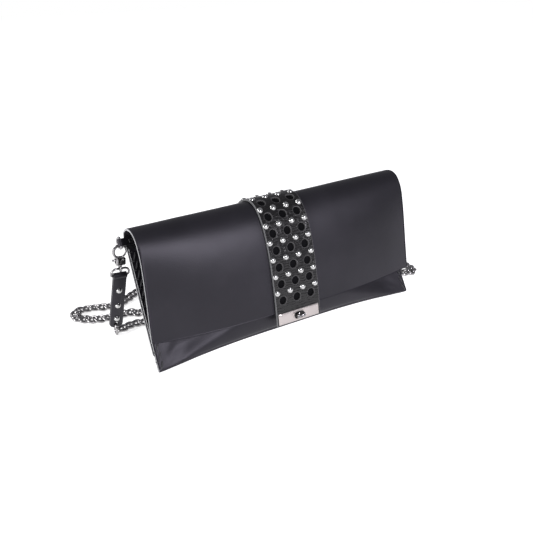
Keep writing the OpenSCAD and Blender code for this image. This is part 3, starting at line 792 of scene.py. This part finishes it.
def make_strap():
    length = STRAP_RUN[-1]
    half = STRAP_W / 2
    first_hole = AT_FOLD + FIRST_ROW + ROW_PITCH / 2
    holes = [first_hole + k * ROW_PITCH for k in range(STUD_ROWS)]
    # On the back, the holes sit below each row of studs
    back_holes = sorted(AT_FOLD - d - ROW_PITCH / 2 for d in BACK_ROWS)
    holes = [h for h in back_holes if h - ROW_PITCH / 2 > 0] + holes
    cell = ROW_PITCH / 2
    cuts = sorted({0.0, length} | {round(h + side * cell, 3) for h in holes for side in (-1, 1)})
    mesh = bmesh.new()
    spots = {}

    def spot(a, v, h, layer):
        key = (round(a, 3), round(v, 3), round(h, 3), layer)
        if key not in spots:
            flat = layer == "top" and h > -0.01
            edge = min(half - abs(v), 1.2) / 1.2
            lift = (ripple(a, v) * max(0.0, edge)) if flat else 0.0
            curl = 0.5 * (v / half) ** 4
            p, _ = on_strap(a, v, (h if layer == "top" else -STRAP_T + h) + lift + curl)
            spots[key] = mesh.verts.new(p * MM)
        return spots[key]

    def quad(points, layer, tone=0):
        verts = [spot(*p, layer) for p in points]
        if len(set(verts)) < 3:
            return
        if layer == "under":
            verts = verts[::-1]
        try:
            mesh.faces.new(verts).material_index = tone
        except ValueError:
            pass
    across = 14
    ring_n = 4 * across

    def border(a0, a1, v0, v1):
        """Points round a cell, anticlockwise from its low corner."""
        pts = [(a0, v0 + (v1 - v0) * i / across) for i in range(across)]
        pts += [(a0 + (a1 - a0) * i / across, v1) for i in range(across)]
        pts += [(a1, v1 - (v1 - v0) * i / across) for i in range(across)]
        return pts + [(a1 - (a1 - a0) * i / across, v0) for i in range(across)]

    def hole_cell(a0, a1, v0, v1):
        ca, cv = (a0 + a1) / 2, (v0 + v1) / 2
        outside = border(a0, a1, v0, v1)
        ways = [math.atan2(a - ca, v - cv) for a, v in outside]
        rims = ((0.45, 0.0), (0.15, -0.08), (0.0, -0.32))
        loops = {}
        for layer in ("top", "under"):
            rows = [[(a, v, 0.0) for a, v in outside]]
            for k in range(1, 8):
                t = k / 8
                rows.append([(a + (ca + (HOLE_R + 0.45) * math.sin(w) - a) * t,
                              v + (cv + (HOLE_R + 0.45) * math.cos(w) - v) * t, 0.0)
                             for (a, v), w in zip(outside, ways)])
            for grow, drop in rims if layer == "top" else ((0.0, 0.0),):
                r = HOLE_R + grow
                rows.append([(ca + r * math.sin(w), cv + r * math.cos(w), drop) for w in ways])
            for j, (one, two) in enumerate(zip(rows, rows[1:])):
                for k in range(ring_n):
                    m = (k + 1) % ring_n
                    # The hole's rounded rim takes the darker cut-edge colour, tone 3: painted shade
                    # going down into the hole.
                    rim = layer == "top" and j >= len(rows) - 3
                    tone = 3 if rim else (0 if layer == "top" else 2)
                    quad([one[k], one[m], two[m], two[k]], layer, tone)
            loops[layer] = rows[-1]
        # The hole's wall, also in the darker cut-edge colour: painted shade inside the hole.
        for k in range(ring_n):
            m = (k + 1) % ring_n
            a, b = (spot(*loops["top"][k], "top"), spot(*loops["top"][m], "top"))
            c, d = (spot(*loops["under"][m], "under"), spot(*loops["under"][k], "under"))
            mesh.faces.new([a, b, c, d]).material_index = 3

    def plain_cell(a0, a1, v0, v1, na, nv):
        for layer in ("top", "under"):
            for i in range(na):
                for j in range(nv):
                    a, b = a0 + (a1 - a0) * i / na, a0 + (a1 - a0) * (i + 1) / na
                    c, d = v0 + (v1 - v0) * j / nv, v0 + (v1 - v0) * (j + 1) / nv
                    quad([(a, c, 0.0), (a, d, 0.0), (b, d, 0.0), (b, c, 0.0)], layer,
                         0 if layer == "top" else 2)
    lanes = [(-1.5 * HOLE_PITCH, -0.5 * HOLE_PITCH), (-0.5 * HOLE_PITCH, 0.5 * HOLE_PITCH),
             (0.5 * HOLE_PITCH, 1.5 * HOLE_PITCH)]
    rows_a = [0.0]
    for a0, a1 in zip(cuts, cuts[1:]):
        holed = any(abs((a0 + a1) / 2 - h) < 0.5 for h in holes)
        parts = across if holed else max(1, round((a1 - a0) / 1.2))
        rows_a += [a0 + (a1 - a0) * (i + 1) / parts for i in range(parts)]
        for v0, v1 in lanes:
            if holed:
                hole_cell(a0, a1, v0, v1)
            else:
                plain_cell(a0, a1, v0, v1, parts, across)
        for v0, v1 in ((-half, lanes[0][0]), (lanes[-1][1], half)):
            plain_cell(a0, a1, v0, v1, parts, 1)
    # The cut edge round the outside, a little rounded at its top
    ends_v = [-half, lanes[0][0]] + [lanes[0][0] + HOLE_PITCH * i / across
                                     for i in range(1, 3 * across)] + [lanes[-1][1], half]
    loop = [(0.0, v) for v in ends_v[:-1]] + [(a, half) for a in rows_a[:-1]]
    loop += [(rows_a[-1], v) for v in ends_v[:0:-1]] + [(a, -half) for a in rows_a[:0:-1]]
    rims = []
    for p, q in zip(loop, loop[1:] + loop[:1]):
        a, b = spot(*p, 0.0, "top"), spot(*q, 0.0, "top")
        c, d = spot(*q, 0.0, "under"), spot(*p, 0.0, "under")
        mesh.faces.new([b, a, d, c]).material_index = 1
        rims += [mesh.edges.get((a, b)), mesh.edges.get((c, d))]
    for f in mesh.faces:
        f.smooth = True
    bmesh.ops.recalc_face_normals(mesh, faces=mesh.faces)
    bmesh.ops.bevel(mesh, geom=[r for r in rims if r], offset=0.3 * MM, segments=2, profile=0.6,
                    affect="EDGES", clamp_overlap=True, material=1)
    strap = from_bmesh("studded_strap", mesh, (RIPPLED, STRAP_CUT, SUEDE, HOLE_WALL_SHADE))
    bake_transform(strap)
    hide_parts("strap_front", "strap_back")


def flat_shade(obj, angle):
    """Smooth shading that breaks at edges sharper than an angle, in degrees."""
    mesh = bmesh.new()
    mesh.from_mesh(obj.data)
    bmesh.ops.recalc_face_normals(mesh, faces=mesh.faces)
    for e in mesh.edges:
        e.smooth = len(e.link_faces) == 2 and e.calc_face_angle() < math.radians(angle)
    mesh.to_mesh(obj.data)
    mesh.free()


def make_hole_shade_sheet():
    """A matte black strip under the strap: painted shade, so the floors of its holes read dark."""
    half, points = 1.5 * HOLE_PITCH, []
    spots = np.linspace(4, STRAP_RUN[-1] - PLATE_H - 6, 160)
    for a in spots:
        for v, h in ((-half, 0.12), (half, 0.12), (half, 0.32), (-half, 0.32)):
            points.append(tuple(on_strap(a, v, h - STRAP_T)[0]))
    faces = bands(len(spots), 4) + [[3, 2, 1, 0], [len(points) - 4 + k for k in range(4)]]
    hole_shade = Piece().add((points, faces), Matrix.Identity(4)).make("strap_hole_shade", HOLE_SHADE_SHEET)
    flat_shade(hole_shade, 40)
    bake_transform(hole_shade)


def dome(radius, height, rim=0.45):
    """A domed stud head on a thin rolled rim."""
    profile = [(0, -0.3), (radius * 0.96, -0.3), (radius, -0.1), (radius, rim * 0.6),
               (radius * 0.93, rim)]
    profile += [(radius * 0.9 * math.cos(a), rim + (height - rim) * math.sin(a))
                for a in (math.radians(t) for t in range(6, 90, 9))]
    return lathe(profile + [(0, height)], 28)


def make_studs():
    head = dome(3.15, 2.1)
    front, back = Piece(), Piece()
    for k in range(STUD_ROWS):
        for c in COLUMNS:
            front.add(head, strap_place(AT_FOLD + FIRST_ROW + k * ROW_PITCH, c * STUD_PITCH, 0.05))
    for d in BACK_ROWS:
        for c in COLUMNS:
            back.add(head, strap_place(AT_FOLD - d, c * STUD_PITCH, 0.05))
    for piece, name, body in ((front, "front_studs", "flap"), (back, "back_studs", "pouch")):
        obj = piece.make(name + "_domes", STEEL)
        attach(obj, body)
        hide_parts(name)


def rippled_leather():
    """Glossy leather pressed with fine wavy creases."""
    material, g, skin = new_material("rippled_leather")
    hide = use(g, HIDE_GRAIN, Pore_size=0.7, Pores=0.25, Dimples=0.5)
    spot = place_in(g)
    warp = g.noise(spot, 210.0, 3.0)
    waves = g.node("ShaderNodeTexWave", {"bands_direction": "Z"}, Vector=spot, Scale=120.0,
                   Distortion=5.0, Detail=1.0, Detail_Scale=1.2).outputs["Fac"]
    height = g.math("MULTIPLY_ADD", waves, g.band(warp, 0.35, 0.65),
                    g.math("MULTIPLY", hide["Height"], 0.3))
    worn = use(g, RUB_WEAR, Amount=0.8)["Mask"]
    shade = g.mix(hide["Mottle"], (0.0055, 0.005, 0.0055, 1), (0.010, 0.0095, 0.0105, 1))
    g.feed(skin.inputs["Base Color"], g.mix(worn, shade, (0.05, 0.048, 0.05, 1)))
    g.feed(skin.inputs["Roughness"], g.math("MULTIPLY_ADD", waves, -0.10, 0.32))
    g.feed(skin.inputs["Normal"], bump(g, height, 0.00018))
    skin.inputs["Specular IOR Level"].default_value = 0.34
    return material


RIPPLED = rippled_leather()
# The cut edge inside the strap's holes and on their rims, darker than the outer edge: painted shade
# in the holes.
HOLE_WALL_SHADE = cut_edge("cut_edge_hole_shade", (0.075, 0.073, 0.075))
STRAP_CUT = cut_edge("cut_edge_strap", (0.19, 0.19, 0.195))
# Near-black, almost unreflective leather for the strip under the strap: painted shade seen through
# the strap's holes.
HOLE_SHADE_SHEET = smooth_leather("painted_hole_shade", (0.004, 0.004, 0.0045), (0.007, 0.007, 0.008), 0.95,
                      0.0002, 0.9)
HOLE_SHADE_SHEET.node_tree.nodes["Principled BSDF"].inputs["Specular IOR Level"].default_value = 0.08
make_strap()
make_hole_shade_sheet()
make_studs()


# ---- Turn lock ----------------------------------------------------------------------------

KNOB_L, KNOB_W, KNOB_H = 10.4, 5.4, 5.6
LOCK_DROP = STRAP_T + 1.6


def lock_place(h=0.0):
    return strap_place(STRAP_RUN[-1] - PLATE_H / 2 - 1.2, 0, h)


def stadium(length, width, steps=12):
    r, c = width / 2, (length - width) / 2
    right = [(c + r * math.cos(a), r * math.sin(a))
             for a in np.linspace(-math.pi / 2, math.pi / 2, steps)]
    return right + [(-x, -y) for x, y in right]


def make_lock_plate():
    """A plate with bright bevels and a slot, built as rings from the slot out to its edge."""
    slot_l, slot_w = KNOB_L + 1.6, KNOB_W + 1.6
    steps = 14
    slot = stadium(slot_l, slot_w, steps)
    half_l, half_h = PLATE_L / 2, PLATE_H / 2
    # Seen from the slot's right end: along the low edge, up the end and back along the top edge
    low = [(half_l * t, -half_h) for t in (0.25, 0.4, 0.55, 0.7, 0.85, 1.0)]
    end = [(half_l, -half_h / 3), (half_l, half_h / 3)]
    right = low + end + [(x, -y) for x, y in low[::-1]]
    outline = right + [(-x, -y) for x, y in right]

    def shrink(d):
        return [(math.copysign(max(0.0, min(abs(x), half_l - d)), x),
                 math.copysign(max(0.0, min(abs(y), half_h - d)), y)) for x, y in outline]

    def widen(d):
        return stadium(slot_l + 2 * d, slot_w + 2 * d, steps)
    bevel = 0.7
    rings = [(shrink(0.15), 0), (shrink(0), 0.15), (shrink(0), PLATE_T - bevel),
             (shrink(bevel), PLATE_T - 0.04), (shrink(bevel * 1.2), PLATE_T),
             (widen(1.1), PLATE_T), (widen(0.95), PLATE_T + 0.36),
             (widen(0.5), PLATE_T + 0.42), (widen(0.12), PLATE_T + 0.15), (widen(0), PLATE_T - 0.4),
             (widen(0), 0)]
    points = [(x, y, z) for ring, z in rings for x, y in ring]
    plate = Piece().add((points, bands(len(rings), len(slot), closed=True)), lock_place(0.02))
    pin = lathe([(0, -0.2), (0.62, -0.2), (0.62, 0.12), (0.5, 0.28), (0, 0.34)], 16)
    for x in (-1, 1):
        for y in (-1, 1):
            spot = Matrix.Translation((x * (half_l - 2.2), y * (half_h - 2.2), 0))
            plate.add(pin, lock_place(PLATE_T) @ spot)
    obj = plate.make("lock_plate_face", PLATE)
    flat_shade(obj, 30)
    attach(obj, "flap")
    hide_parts("lock_plate", "lock_plate_pins")


def make_knob():
    """A bow-tie knob: two ball lobes on a waisted bar, on a collared spindle."""
    knob = Piece()
    base = lock_place(-LOCK_DROP)
    spindle_top = LOCK_DROP + PLATE_T + 1.2
    spindle = [(0, -4.2), (1.45, -4.2), (1.45, spindle_top), (0, spindle_top)]
    knob.add(lathe(spindle, 24), base)
    low = LOCK_DROP + PLATE_T + 0.5
    collar = [(0, low), (2.1, low), (2.35, low + 0.25), (2.35, low + 0.75), (2.0, low + 1.1),
              (0, low + 1.2)]
    knob.add(lathe(collar, 28), base)
    waist = []
    for i in range(41):
        t = -1 + i / 20
        x = t * (KNOB_L / 2)
        swell = abs(t) ** 1.6
        tip = math.sqrt(max(0.0, 1 - max(0.0, (abs(t) - 0.62) / 0.38) ** 2))
        waist.append((x, (1.25 + 1.45 * min(1.0, swell * 1.9)) * max(tip, 0.02),
                      (1.35 + 0.9 * min(1.0, swell * 1.6)) * max(tip, 0.02)))
    sides, points, faces = 24, [], []
    mid = low + KNOB_H * 0.56
    for x, w, h in waist:
        points += [(x, w * math.cos(a), mid + h * math.sin(a)) for a in circle(sides)]
    for j in range(len(waist) - 1):
        for k in range(sides):
            m = (k + 1) % sides
            faces.append([j * sides + k, (j + 1) * sides + k, (j + 1) * sides + m, j * sides + m])
    faces.append(list(range(sides)))
    faces.append([(len(waist) - 1) * sides + k for k in range(sides)][::-1])
    knob.add((points, faces), base)
    neck = [(0, low + 0.8), (1.5, low + 0.8), (1.15, low + 1.6), (1.3, mid), (0, mid + 0.2)]
    knob.add(lathe(neck, 24), base)
    obj = knob.make("turn_knob", GUNMETAL)
    flat_shade(obj, 50)
    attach(obj, "knob")
    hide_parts("lock_knob")


make_lock_plate()
make_knob()


# ---- Ends: built for the left end, mirrored for the right -----------------------------------

BAR_X, BAR_R, RING_R, RING_ARM, WIRE_R = -156.0, 1.2, 5.1, 4.0, 1.2
BAR_S = FOLD_S - 4.4
HOOK_TILT, TAB_LEAN = math.radians(4), math.radians(14)
BAR_MID = at(BAR_S, 1.2)
BOW_MID = BAR_MID - RING_ARM * at(0, 1)
HANG = Vector((BAR_X, BOW_MID[0], BOW_MID[1] - RING_R))
HOOK_R, EYE_R, EYE_WIRE = 6.0, 2.7, 1.1
HOOK_MID = 2.7 - HOOK_R
BODY_LOW, GATE_X, GATE_Z = HOOK_MID - 13.3, 2.2, HOOK_MID - 7.4
EYE_MID = BODY_LOW - 4
TAB_RING_Z = EYE_MID - EYE_R + 2 * EYE_WIRE + 0.3
RING_W, RING_H = 18.0, 8.2
TAB_W, TAB_L, TAB_T = 13.3, 65.0, 3.4
TAB_STUDS = (18.0, 37.0, 54.0)

BAR_PLACE = (Matrix.Translation((BAR_X, BAR_MID[0], BAR_MID[1])) @ Matrix.Rotation(-LEAN, 4, "X"))
HOOK_PLACE = Matrix.Translation(HANG) @ Matrix.Rotation(HOOK_TILT, 4, "Y")
LOWER_PLACE = (HOOK_PLACE @ Matrix.Translation((0, 0, TAB_RING_Z))
               @ Matrix.Rotation(TAB_LEAN, 4, "X"))
TAB_PLACE = LOWER_PLACE @ Matrix.Translation((0, 0, -RING_H))
MIRROR = Matrix.Scale(-1, 4, (1, 0, 0))
ACROSS = Matrix.Rotation(math.pi / 2, 4, "X")


def both_ends(build, name, body, slot, nodes, *materials):
    """Makes a left piece and its mirror image. build() gives a list of (shape, place, tone)."""
    for side in ("left", "right"):
        piece = Piece()
        for shape, place, tone in build():
            piece.add(shape, MIRROR @ place if side == "right" else place, tone)
        obj = piece.make(f"{side}_{name}", *materials)
        flat_shade(obj, 40)
        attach(obj, body.format(side))
        if nodes:
            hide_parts(*[n.format(side) for n in nodes])


def d_ring():
    """A bow of round wire that ends in the straight bar inside its tab."""
    corner = 1.3
    bow = [(0, corner * (1 - math.cos(a)), RING_R - corner + corner * math.sin(a))
           for a in np.linspace(0, math.pi / 2, 6)]
    bow += [(0, RING_ARM + RING_R * math.sin(a), RING_R * math.cos(a))
            for a in np.linspace(0, math.pi, 20)]
    bow += [(0, corner * (1 - math.sin(a)), -RING_R + corner - corner * math.cos(a))
            for a in np.linspace(0, math.pi / 2, 6)]
    path = bow + [(0, 0, z) for z in np.linspace(-RING_R + corner + 0.6, RING_R - corner - 0.6, 8)]
    return [(tube(path, WIRE_R, 16, closed=True, side_hint=(1, 0, 0)), BAR_PLACE, 0)]


def bar_box(x, y, z, w, d, h, bevel=0.35):
    """A block with rounded rims, centred on a point; its faces toward Y are the flat ones."""
    outline = [(-w / 2, -h / 2), (w / 2, -h / 2), (w / 2, h / 2), (-w / 2, h / 2)]
    return slab(outline, -d / 2, d / 2, bevel), Matrix.Translation((x, y, z)) @ ACROSS


def rounded(w, h, r, steps=5):
    """A rectangle with round corners, as an outline."""
    pts = []
    for cx, cy, start in ((w / 2 - r, h / 2 - r, 0), (-w / 2 + r, h / 2 - r, 90),
                          (-w / 2 + r, -h / 2 + r, 180), (w / 2 - r, -h / 2 + r, 270)):
        pts += [(cx + r * math.cos(a), cy + r * math.sin(a))
                for a in (math.radians(start + 90 * k / steps) for k in range(steps + 1))]
    return pts


def hook_body():
    """The hook's round nose and its box of two cheeks."""
    nose = arc_points(HOOK_R + 0.3, 24, 232, 30, (0, 0, HOOK_MID))
    radii = [WIRE_R + 0.3 * math.sin(math.pi * k / 30) ** 0.5 for k in range(31)]
    parts = [(tube(nose, radii, 16, side_hint=(0, 1, 0)), HOOK_PLACE, 0)]
    mid = HOOK_MID - 9.45
    for y in (-2.2, 2.2):
        cheek = slab(rounded(9.4, 7.7, 1.4), -0.6, 0.6, 0.3)
        parts.append((cheek, HOOK_PLACE @ Matrix.Translation((0, y, mid)) @ ACROSS, 0))
    bridge, place = bar_box(-3.0, 0, HOOK_MID - 5.85, 3.2, 5.0, 1.5)
    parts.append((bridge, HOOK_PLACE @ place, 0))
    sole = slab(rounded(9.3, 5.5, 1.6), 0, 1.9, 0.4)
    parts.append((sole, HOOK_PLACE @ Matrix.Translation((0, 0, BODY_LOW)), 0))
    pin = lathe([(0, -3.05), (0.55, -3.05), (0.75, -2.9), (0.75, 2.9), (0.55, 3.05), (0, 3.05)], 16)
    parts.append((pin, HOOK_PLACE @ Matrix.Translation((GATE_X, 0, GATE_Z)) @ ACROSS, 1))
    return parts


def gate():
    """The sprung gate: a hub on the pin, a finger that closes the nose, and a thumb lever."""
    hub = lathe([(0, -1.3), (1.7, -1.3), (1.9, -1.1), (1.9, 1.1), (1.7, 1.3), (0, 1.3)], 24)
    finger = [(GATE_X + 0.8, 0, GATE_Z + 1.0)] + arc_points(HOOK_R, -50, 6, 12, (0, 0, HOOK_MID))
    lever = [(GATE_X - 1.2, 0, GATE_Z - 0.3), (-3.0, 0, GATE_Z - 0.6), (-6.9, 0, GATE_Z - 0.8)]
    knob = lathe([(0, -1.25)] + [(1.25 * math.cos(a), 1.25 * math.sin(a))
                                 for a in np.linspace(-1.3, 1.3, 9)] + [(0, 1.25)], 20)
    return [(hub, HOOK_PLACE @ Matrix.Translation((GATE_X, 0, GATE_Z)) @ ACROSS, 0),
            (tube(finger, 1.0, 14, side_hint=(0, 1, 0)), HOOK_PLACE, 0),
            (tube(lever, 0.75, 12, side_hint=(0, 1, 0)), HOOK_PLACE, 0),
            (knob, HOOK_PLACE @ Matrix.Translation((-7.1, 0, GATE_Z - 0.8)), 0)]


def swivel_eye():
    """The swivel's post with its collars, and the eye below it."""
    top = BODY_LOW + 1.95
    post = [(0, top + 0.9), (1.6, top + 0.9), (2.05, top + 0.7), (2.05, top + 0.1), (1.5, top),
            (1.5, BODY_LOW - 0.15), (2.2, BODY_LOW - 0.25), (2.3, BODY_LOW - 0.55),
            (2.2, BODY_LOW - 0.85), (1.45, BODY_LOW - 1.0),
            (1.3, EYE_MID + EYE_R - 0.3), (0, EYE_MID + EYE_R - 0.4)]
    eye = [(0, EYE_R * math.sin(a), EYE_MID + EYE_R * math.cos(a)) for a in circle(32)]
    return [(lathe(post[::-1], 28), HOOK_PLACE, 0),
            (tube(eye, EYE_WIRE, 14, closed=True, side_hint=(1, 0, 0)), HOOK_PLACE, 0)]


def strap_ring():
    """A wide ring with round shoulders and a flat lower bar."""
    half, top_r, low_r = RING_W / 2, 5.0, 2.0
    path = [(t, 0, 0) for t in np.linspace(-(half - top_r), half - top_r, 6)]
    path += arc_points(top_r, 90, 0, 9, (half - top_r, 0, -top_r))[1:]
    path += arc_points(low_r, 0, -90, 6, (half - low_r, 0, -RING_H + low_r))
    path += [(t, 0, -RING_H) for t in np.linspace(half - low_r, -(half - low_r), 9)[1:-1]]
    path += arc_points(low_r, 270, 180, 6, (-(half - low_r), 0, -RING_H + low_r))
    path += arc_points(top_r, 180, 90, 9, (-(half - top_r), 0, -top_r))[:-1]
    return [(tube(path, EYE_WIRE, 14, closed=True, side_hint=(0, 1, 0)), LOWER_PLACE, 0)]


def tab_outline(w, slot_w=4.0, slot_l=4.5, tip=3.0):
    """Half of the outline of a tab from its top to its slot, as (across, distance) pairs."""
    r = slot_w / 2
    pts = [(w, 0), (w, TAB_L - tip), (w - 0.7, TAB_L - tip * 0.62), (w - tip * 0.9, TAB_L - 0.3),
           (w - tip, TAB_L), (r, TAB_L)]
    pts += [(r * math.cos(a), TAB_L - slot_l - r * math.sin(a))
            for a in np.linspace(0, math.pi / 2, 7)]
    return pts


def end_tab_layers():
    """Two layers of a strip that folds over the ring's lower bar, each cut square with a slot."""
    parts = []
    right = tab_outline(TAB_W / 2)
    outline = ([(x, -d) for x, d in right] + [(-x, -d) for x, d in right[-2::-1]])[::-1]
    for low, high in ((0.05, TAB_T / 2), (-TAB_T / 2, -0.05)):
        parts.append((slab(outline, low, high, 0.25), TAB_PLACE @ ACROSS, 0))
    steps = 14
    turns = [math.radians(-55 + 290 * k / steps) for k in range(steps + 1)]
    outer, inner = ([(r * math.cos(a), r * math.sin(a)) for a in turns]
                    for r in (TAB_T / 2 + 1.35, TAB_T / 2 - 0.25))
    ring = outer + inner[::-1]
    n = len(ring)
    points = [(x, y, z) for x in (-TAB_W / 2, TAB_W / 2) for y, z in ring]
    faces = bands(2, n)
    for k in range(steps):
        faces.append([k, n - 1 - k, n - 2 - k, k + 1])
        faces.append([n + k, n + k + 1, 2 * n - 2 - k, 2 * n - 1 - k])
    parts.append(((points, faces), TAB_PLACE, 0))
    return parts


def tab_studs():
    head = dome(3.0, 2.2)
    cap = lathe([(0, -0.2), (2.4, -0.2), (2.5, 0.1), (2.3, 0.6), (0, 0.75)], 24)
    parts = []
    for d in TAB_STUDS:
        front = Matrix.Translation((0, -TAB_T / 2, -d)) @ Matrix.Rotation(math.pi / 2, 4, "X")
        back = Matrix.Translation((0, TAB_T / 2, -d)) @ Matrix.Rotation(-math.pi / 2, 4, "X")
        parts += [(head, TAB_PLACE @ front, 0), (cap, TAB_PLACE @ back, 0)]
    return parts


def side_tab():
    """A narrow strip folded round the ring's bar and riveted inside the back."""
    h, layer, reach = 7.2, 1.2, 17.5
    r_in, r_out = BAR_R + 0.3, BAR_R + 0.3 + layer

    def turn(r, start, end, steps):
        return [(r * math.cos(a), r * math.sin(a))
                for a in np.linspace(math.radians(start), math.radians(end), steps)]
    outline = [(reach, -layer)] + turn(r_out, -62, -298, 18) + [(reach, layer), (reach, 0.03)]
    outline += [(2.2, 0.03)] + turn(r_in, -310, -50, 16) + [(2.2, -0.03), (reach, -0.03)]
    return [(slab(outline[::-1], -h / 2, h / 2, 0.12, 1), BAR_PLACE, 0)]


def eyelet():
    """A rolled eyelet through the side tab and the back."""
    m = facing(at(0, 1), Vector((-HALF_L + 4, *at(BAR_S, 2.4))))
    front = lathe([(0, 0.15), (0.9, 0.15), (1.05, 0.75), (1.6, 0.95), (2.3, 0.7), (2.6, 0.1),
                   (2.6, 0.02), (0, 0.0)], 28)
    back = lathe([(0, -5.7), (1.6, -5.6), (2.4, -5.3), (2.6, -4.75), (0, -4.7)], 28)
    return [(front, m, 0), (back, m, 0)]


def seam_thread():
    """Thick slanted stitches over the pouch's side, front and back, with short crossings."""
    parts = []
    pitch, count = 8.7, 13
    x0 = -HALF_L + MARGIN * 0.55
    for k in range(count):
        s = 6 + k * pitch
        for face in (1, -1):
            f = face * (HIDE_T + 0.35)
            low, high = s - 3.5, s + 3.5
            spots = []
            for t in np.linspace(0, 1, 9):
                sink = 1.0 * abs(2 * t - 1) ** 3
                p = at(low + (high - low) * t, f - face * sink)
                spots.append(tuple(splay(x0 - 1.5 + 3.0 * t, p[0], p[1])))
            swell = [0.7 + 0.2 * math.sin(math.pi * t) for t in np.linspace(0, 1, 9)]
            parts.append((tube(spots, swell, 10), Matrix.Identity(4), 0))
        # The thread's turn over the cut edge
        wrap = []
        for t in np.linspace(0, 1, 11):
            a = math.pi * t
            p = at(s + 3.9 + 0.6 * t, (HIDE_T + 0.3) * math.cos(a))
            wrap.append(tuple(splay(-HALF_L + 2.4 - 2.75 * math.sin(a), p[0], p[1])))
        parts.append((tube(wrap, 0.5, 10), Matrix.Identity(4), 0))
    return parts


def hanging_link():
    """The link in the tab's slot."""
    tip = TAB_PLACE @ Vector((0, 0, -TAB_L))
    path = [(tip.x + 0.5 * math.cos(a), tip.y + 4.3 * math.cos(a), 8.1 + 6.1 * math.sin(a))
            for a in circle(28)]
    return [(tube(path, 1.45, 12, closed=True, side_hint=(1, 0, 0)), Matrix.Identity(4), 0)]


def waxed_thread():
    """Twisted waxed thread."""
    material, g, skin = new_material("waxed_thread")
    twist = g.node("ShaderNodeTexWave", {"bands_direction": "DIAGONAL"}, Vector=place_in(g),
                   Scale=900.0, Distortion=2.0, Detail=1.0).outputs["Fac"]
    g.feed(skin.inputs["Base Color"], g.mix(twist, (0.02, 0.02, 0.023, 1), (0.07, 0.069, 0.075, 1)))
    g.feed(skin.inputs["Normal"], bump(g, twist, 0.0002))
    skin.inputs["Roughness"].default_value = 0.42
    return material


THREAD = waxed_thread()
both_ends(d_ring, "d_ring_wire", "{}_ring", "gunmetal", ["{}_d_ring"], GUNMETAL)
both_ends(hook_body, "hook_housing", "{}_hook", "gunmetal",
          ["{}_hook_body", "{}_gate_pin", "{}_gate_spring"], GUNMETAL, STEEL)
both_ends(gate, "hook_gate", "{}_gate", "gunmetal", ["{}_gate"], GUNMETAL)
both_ends(swivel_eye, "swivel", "{}_swivel", "gunmetal", ["{}_swivel_eye"], GUNMETAL)
both_ends(strap_ring, "tab_ring", "{}_strap_ring", "gunmetal", ["{}_strap_ring"], GUNMETAL)
both_ends(end_tab_layers, "tab_leather", "{}_tab", "smooth_leather", ["{}_end_tab"], HIDE, CUT)
both_ends(tab_studs, "tab_domes", "{}_tab", "bright_steel", ["{}_tab_studs"], STEEL)
both_ends(side_tab, "ring_holder", "pouch", "smooth_leather", ["{}_side_tab"], HIDE)
both_ends(eyelet, "eyelet", "pouch", "gunmetal", ["{}_tab_rivet"], STEEL)
both_ends(seam_thread, "seam_thread", "pouch", "waxed_thread", ["{}_seam_stitches"], THREAD)
both_ends(hanging_link, "slot_link", "{}_tab", "gunmetal", [], GUNMETAL)


# ---- Finishes of the CAD pieces that stay --------------------------------------------------

FINISH = {"gunmetal": GUNMETAL, "bright_steel": STEEL, "satin_nickel": PLATE, "waxed_thread": HIDE,
          "smooth_leather": HIDE, "embossed_leather": HIDE}
for row in frame["record"]["subparts"]:
    kept = frame["nodes"][row["node"]]
    kept.data.materials.clear()
    kept.data.materials.append(FINISH[row["material_slot"]])
    for face in kept.data.polygons:
        face.material_index = 0


# ---- Floor and light ------------------------------------------------------------------------

def soft_box(name, spot, aim, size, power, tint=(1, 1, 1)):
    data = bpy.data.lights.new(name, "AREA")
    data.shape, data.size, data.size_y = "RECTANGLE", size[0], size[1]
    data.energy, data.color = power, tint
    lamp = in_scene(name, data)
    lamp.location = spot
    lamp.rotation_euler = (Vector(aim) - Vector(spot)).to_track_quat("-Z", "Y").to_euler()


def make_studio():
    floor_mesh = bpy.data.meshes.new("floor")
    reach = 3.0
    corners = [(-reach, -reach, 0), (reach, -reach, 0), (reach, reach, 0), (-reach, reach, 0)]
    floor_mesh.from_pydata(corners, [], [(0, 1, 2, 3)])
    material, g, skin = new_material("pale_floor")
    speck = g.noise(place_in(g), 3.0, 2.0)
    g.feed(skin.inputs["Base Color"], g.mix(speck, (0.90, 0.90, 0.90, 1), (0.93, 0.93, 0.93, 1)))
    skin.inputs["Roughness"].default_value = 0.9
    skin.inputs["Specular IOR Level"].default_value = 0.1
    skin.inputs["Emission Color"].default_value = (1, 1, 1, 1)
    skin.inputs["Emission Strength"].default_value = 0.72
    floor_mesh.materials.append(material)
    in_scene("floor", floor_mesh)

    world = bpy.data.worlds.new("studio")
    bpy.context.scene.world = world
    world.use_nodes = True
    sky = Graph(world.node_tree)
    shade = world.node_tree.nodes["Background"]
    seen = sky.node("ShaderNodeLightPath").outputs["Is Camera Ray"]
    sky.feed(shade.inputs["Color"], sky.mix(seen, (0.30, 0.30, 0.32, 1), (1, 1, 1, 1)))
    shade.inputs["Strength"].default_value = 1.0
    soft_box("key", (0.16, -0.98, 0.66), (-0.05, 0.03, 0.1), (0.42, 0.30), 9.5, (0.95, 0.93, 1.0))
    soft_box("rim", (-0.75, 0.75, 0.9), (0, 0, 0.05), (0.5, 0.5), 6)
    soft_box("left_fill", (-1.25, -0.15, 0.35), (-0.15, 0.05, 0.08), (0.3, 0.5), 7)
    bpy.context.scene.view_settings.view_transform = "Standard"


make_studio()
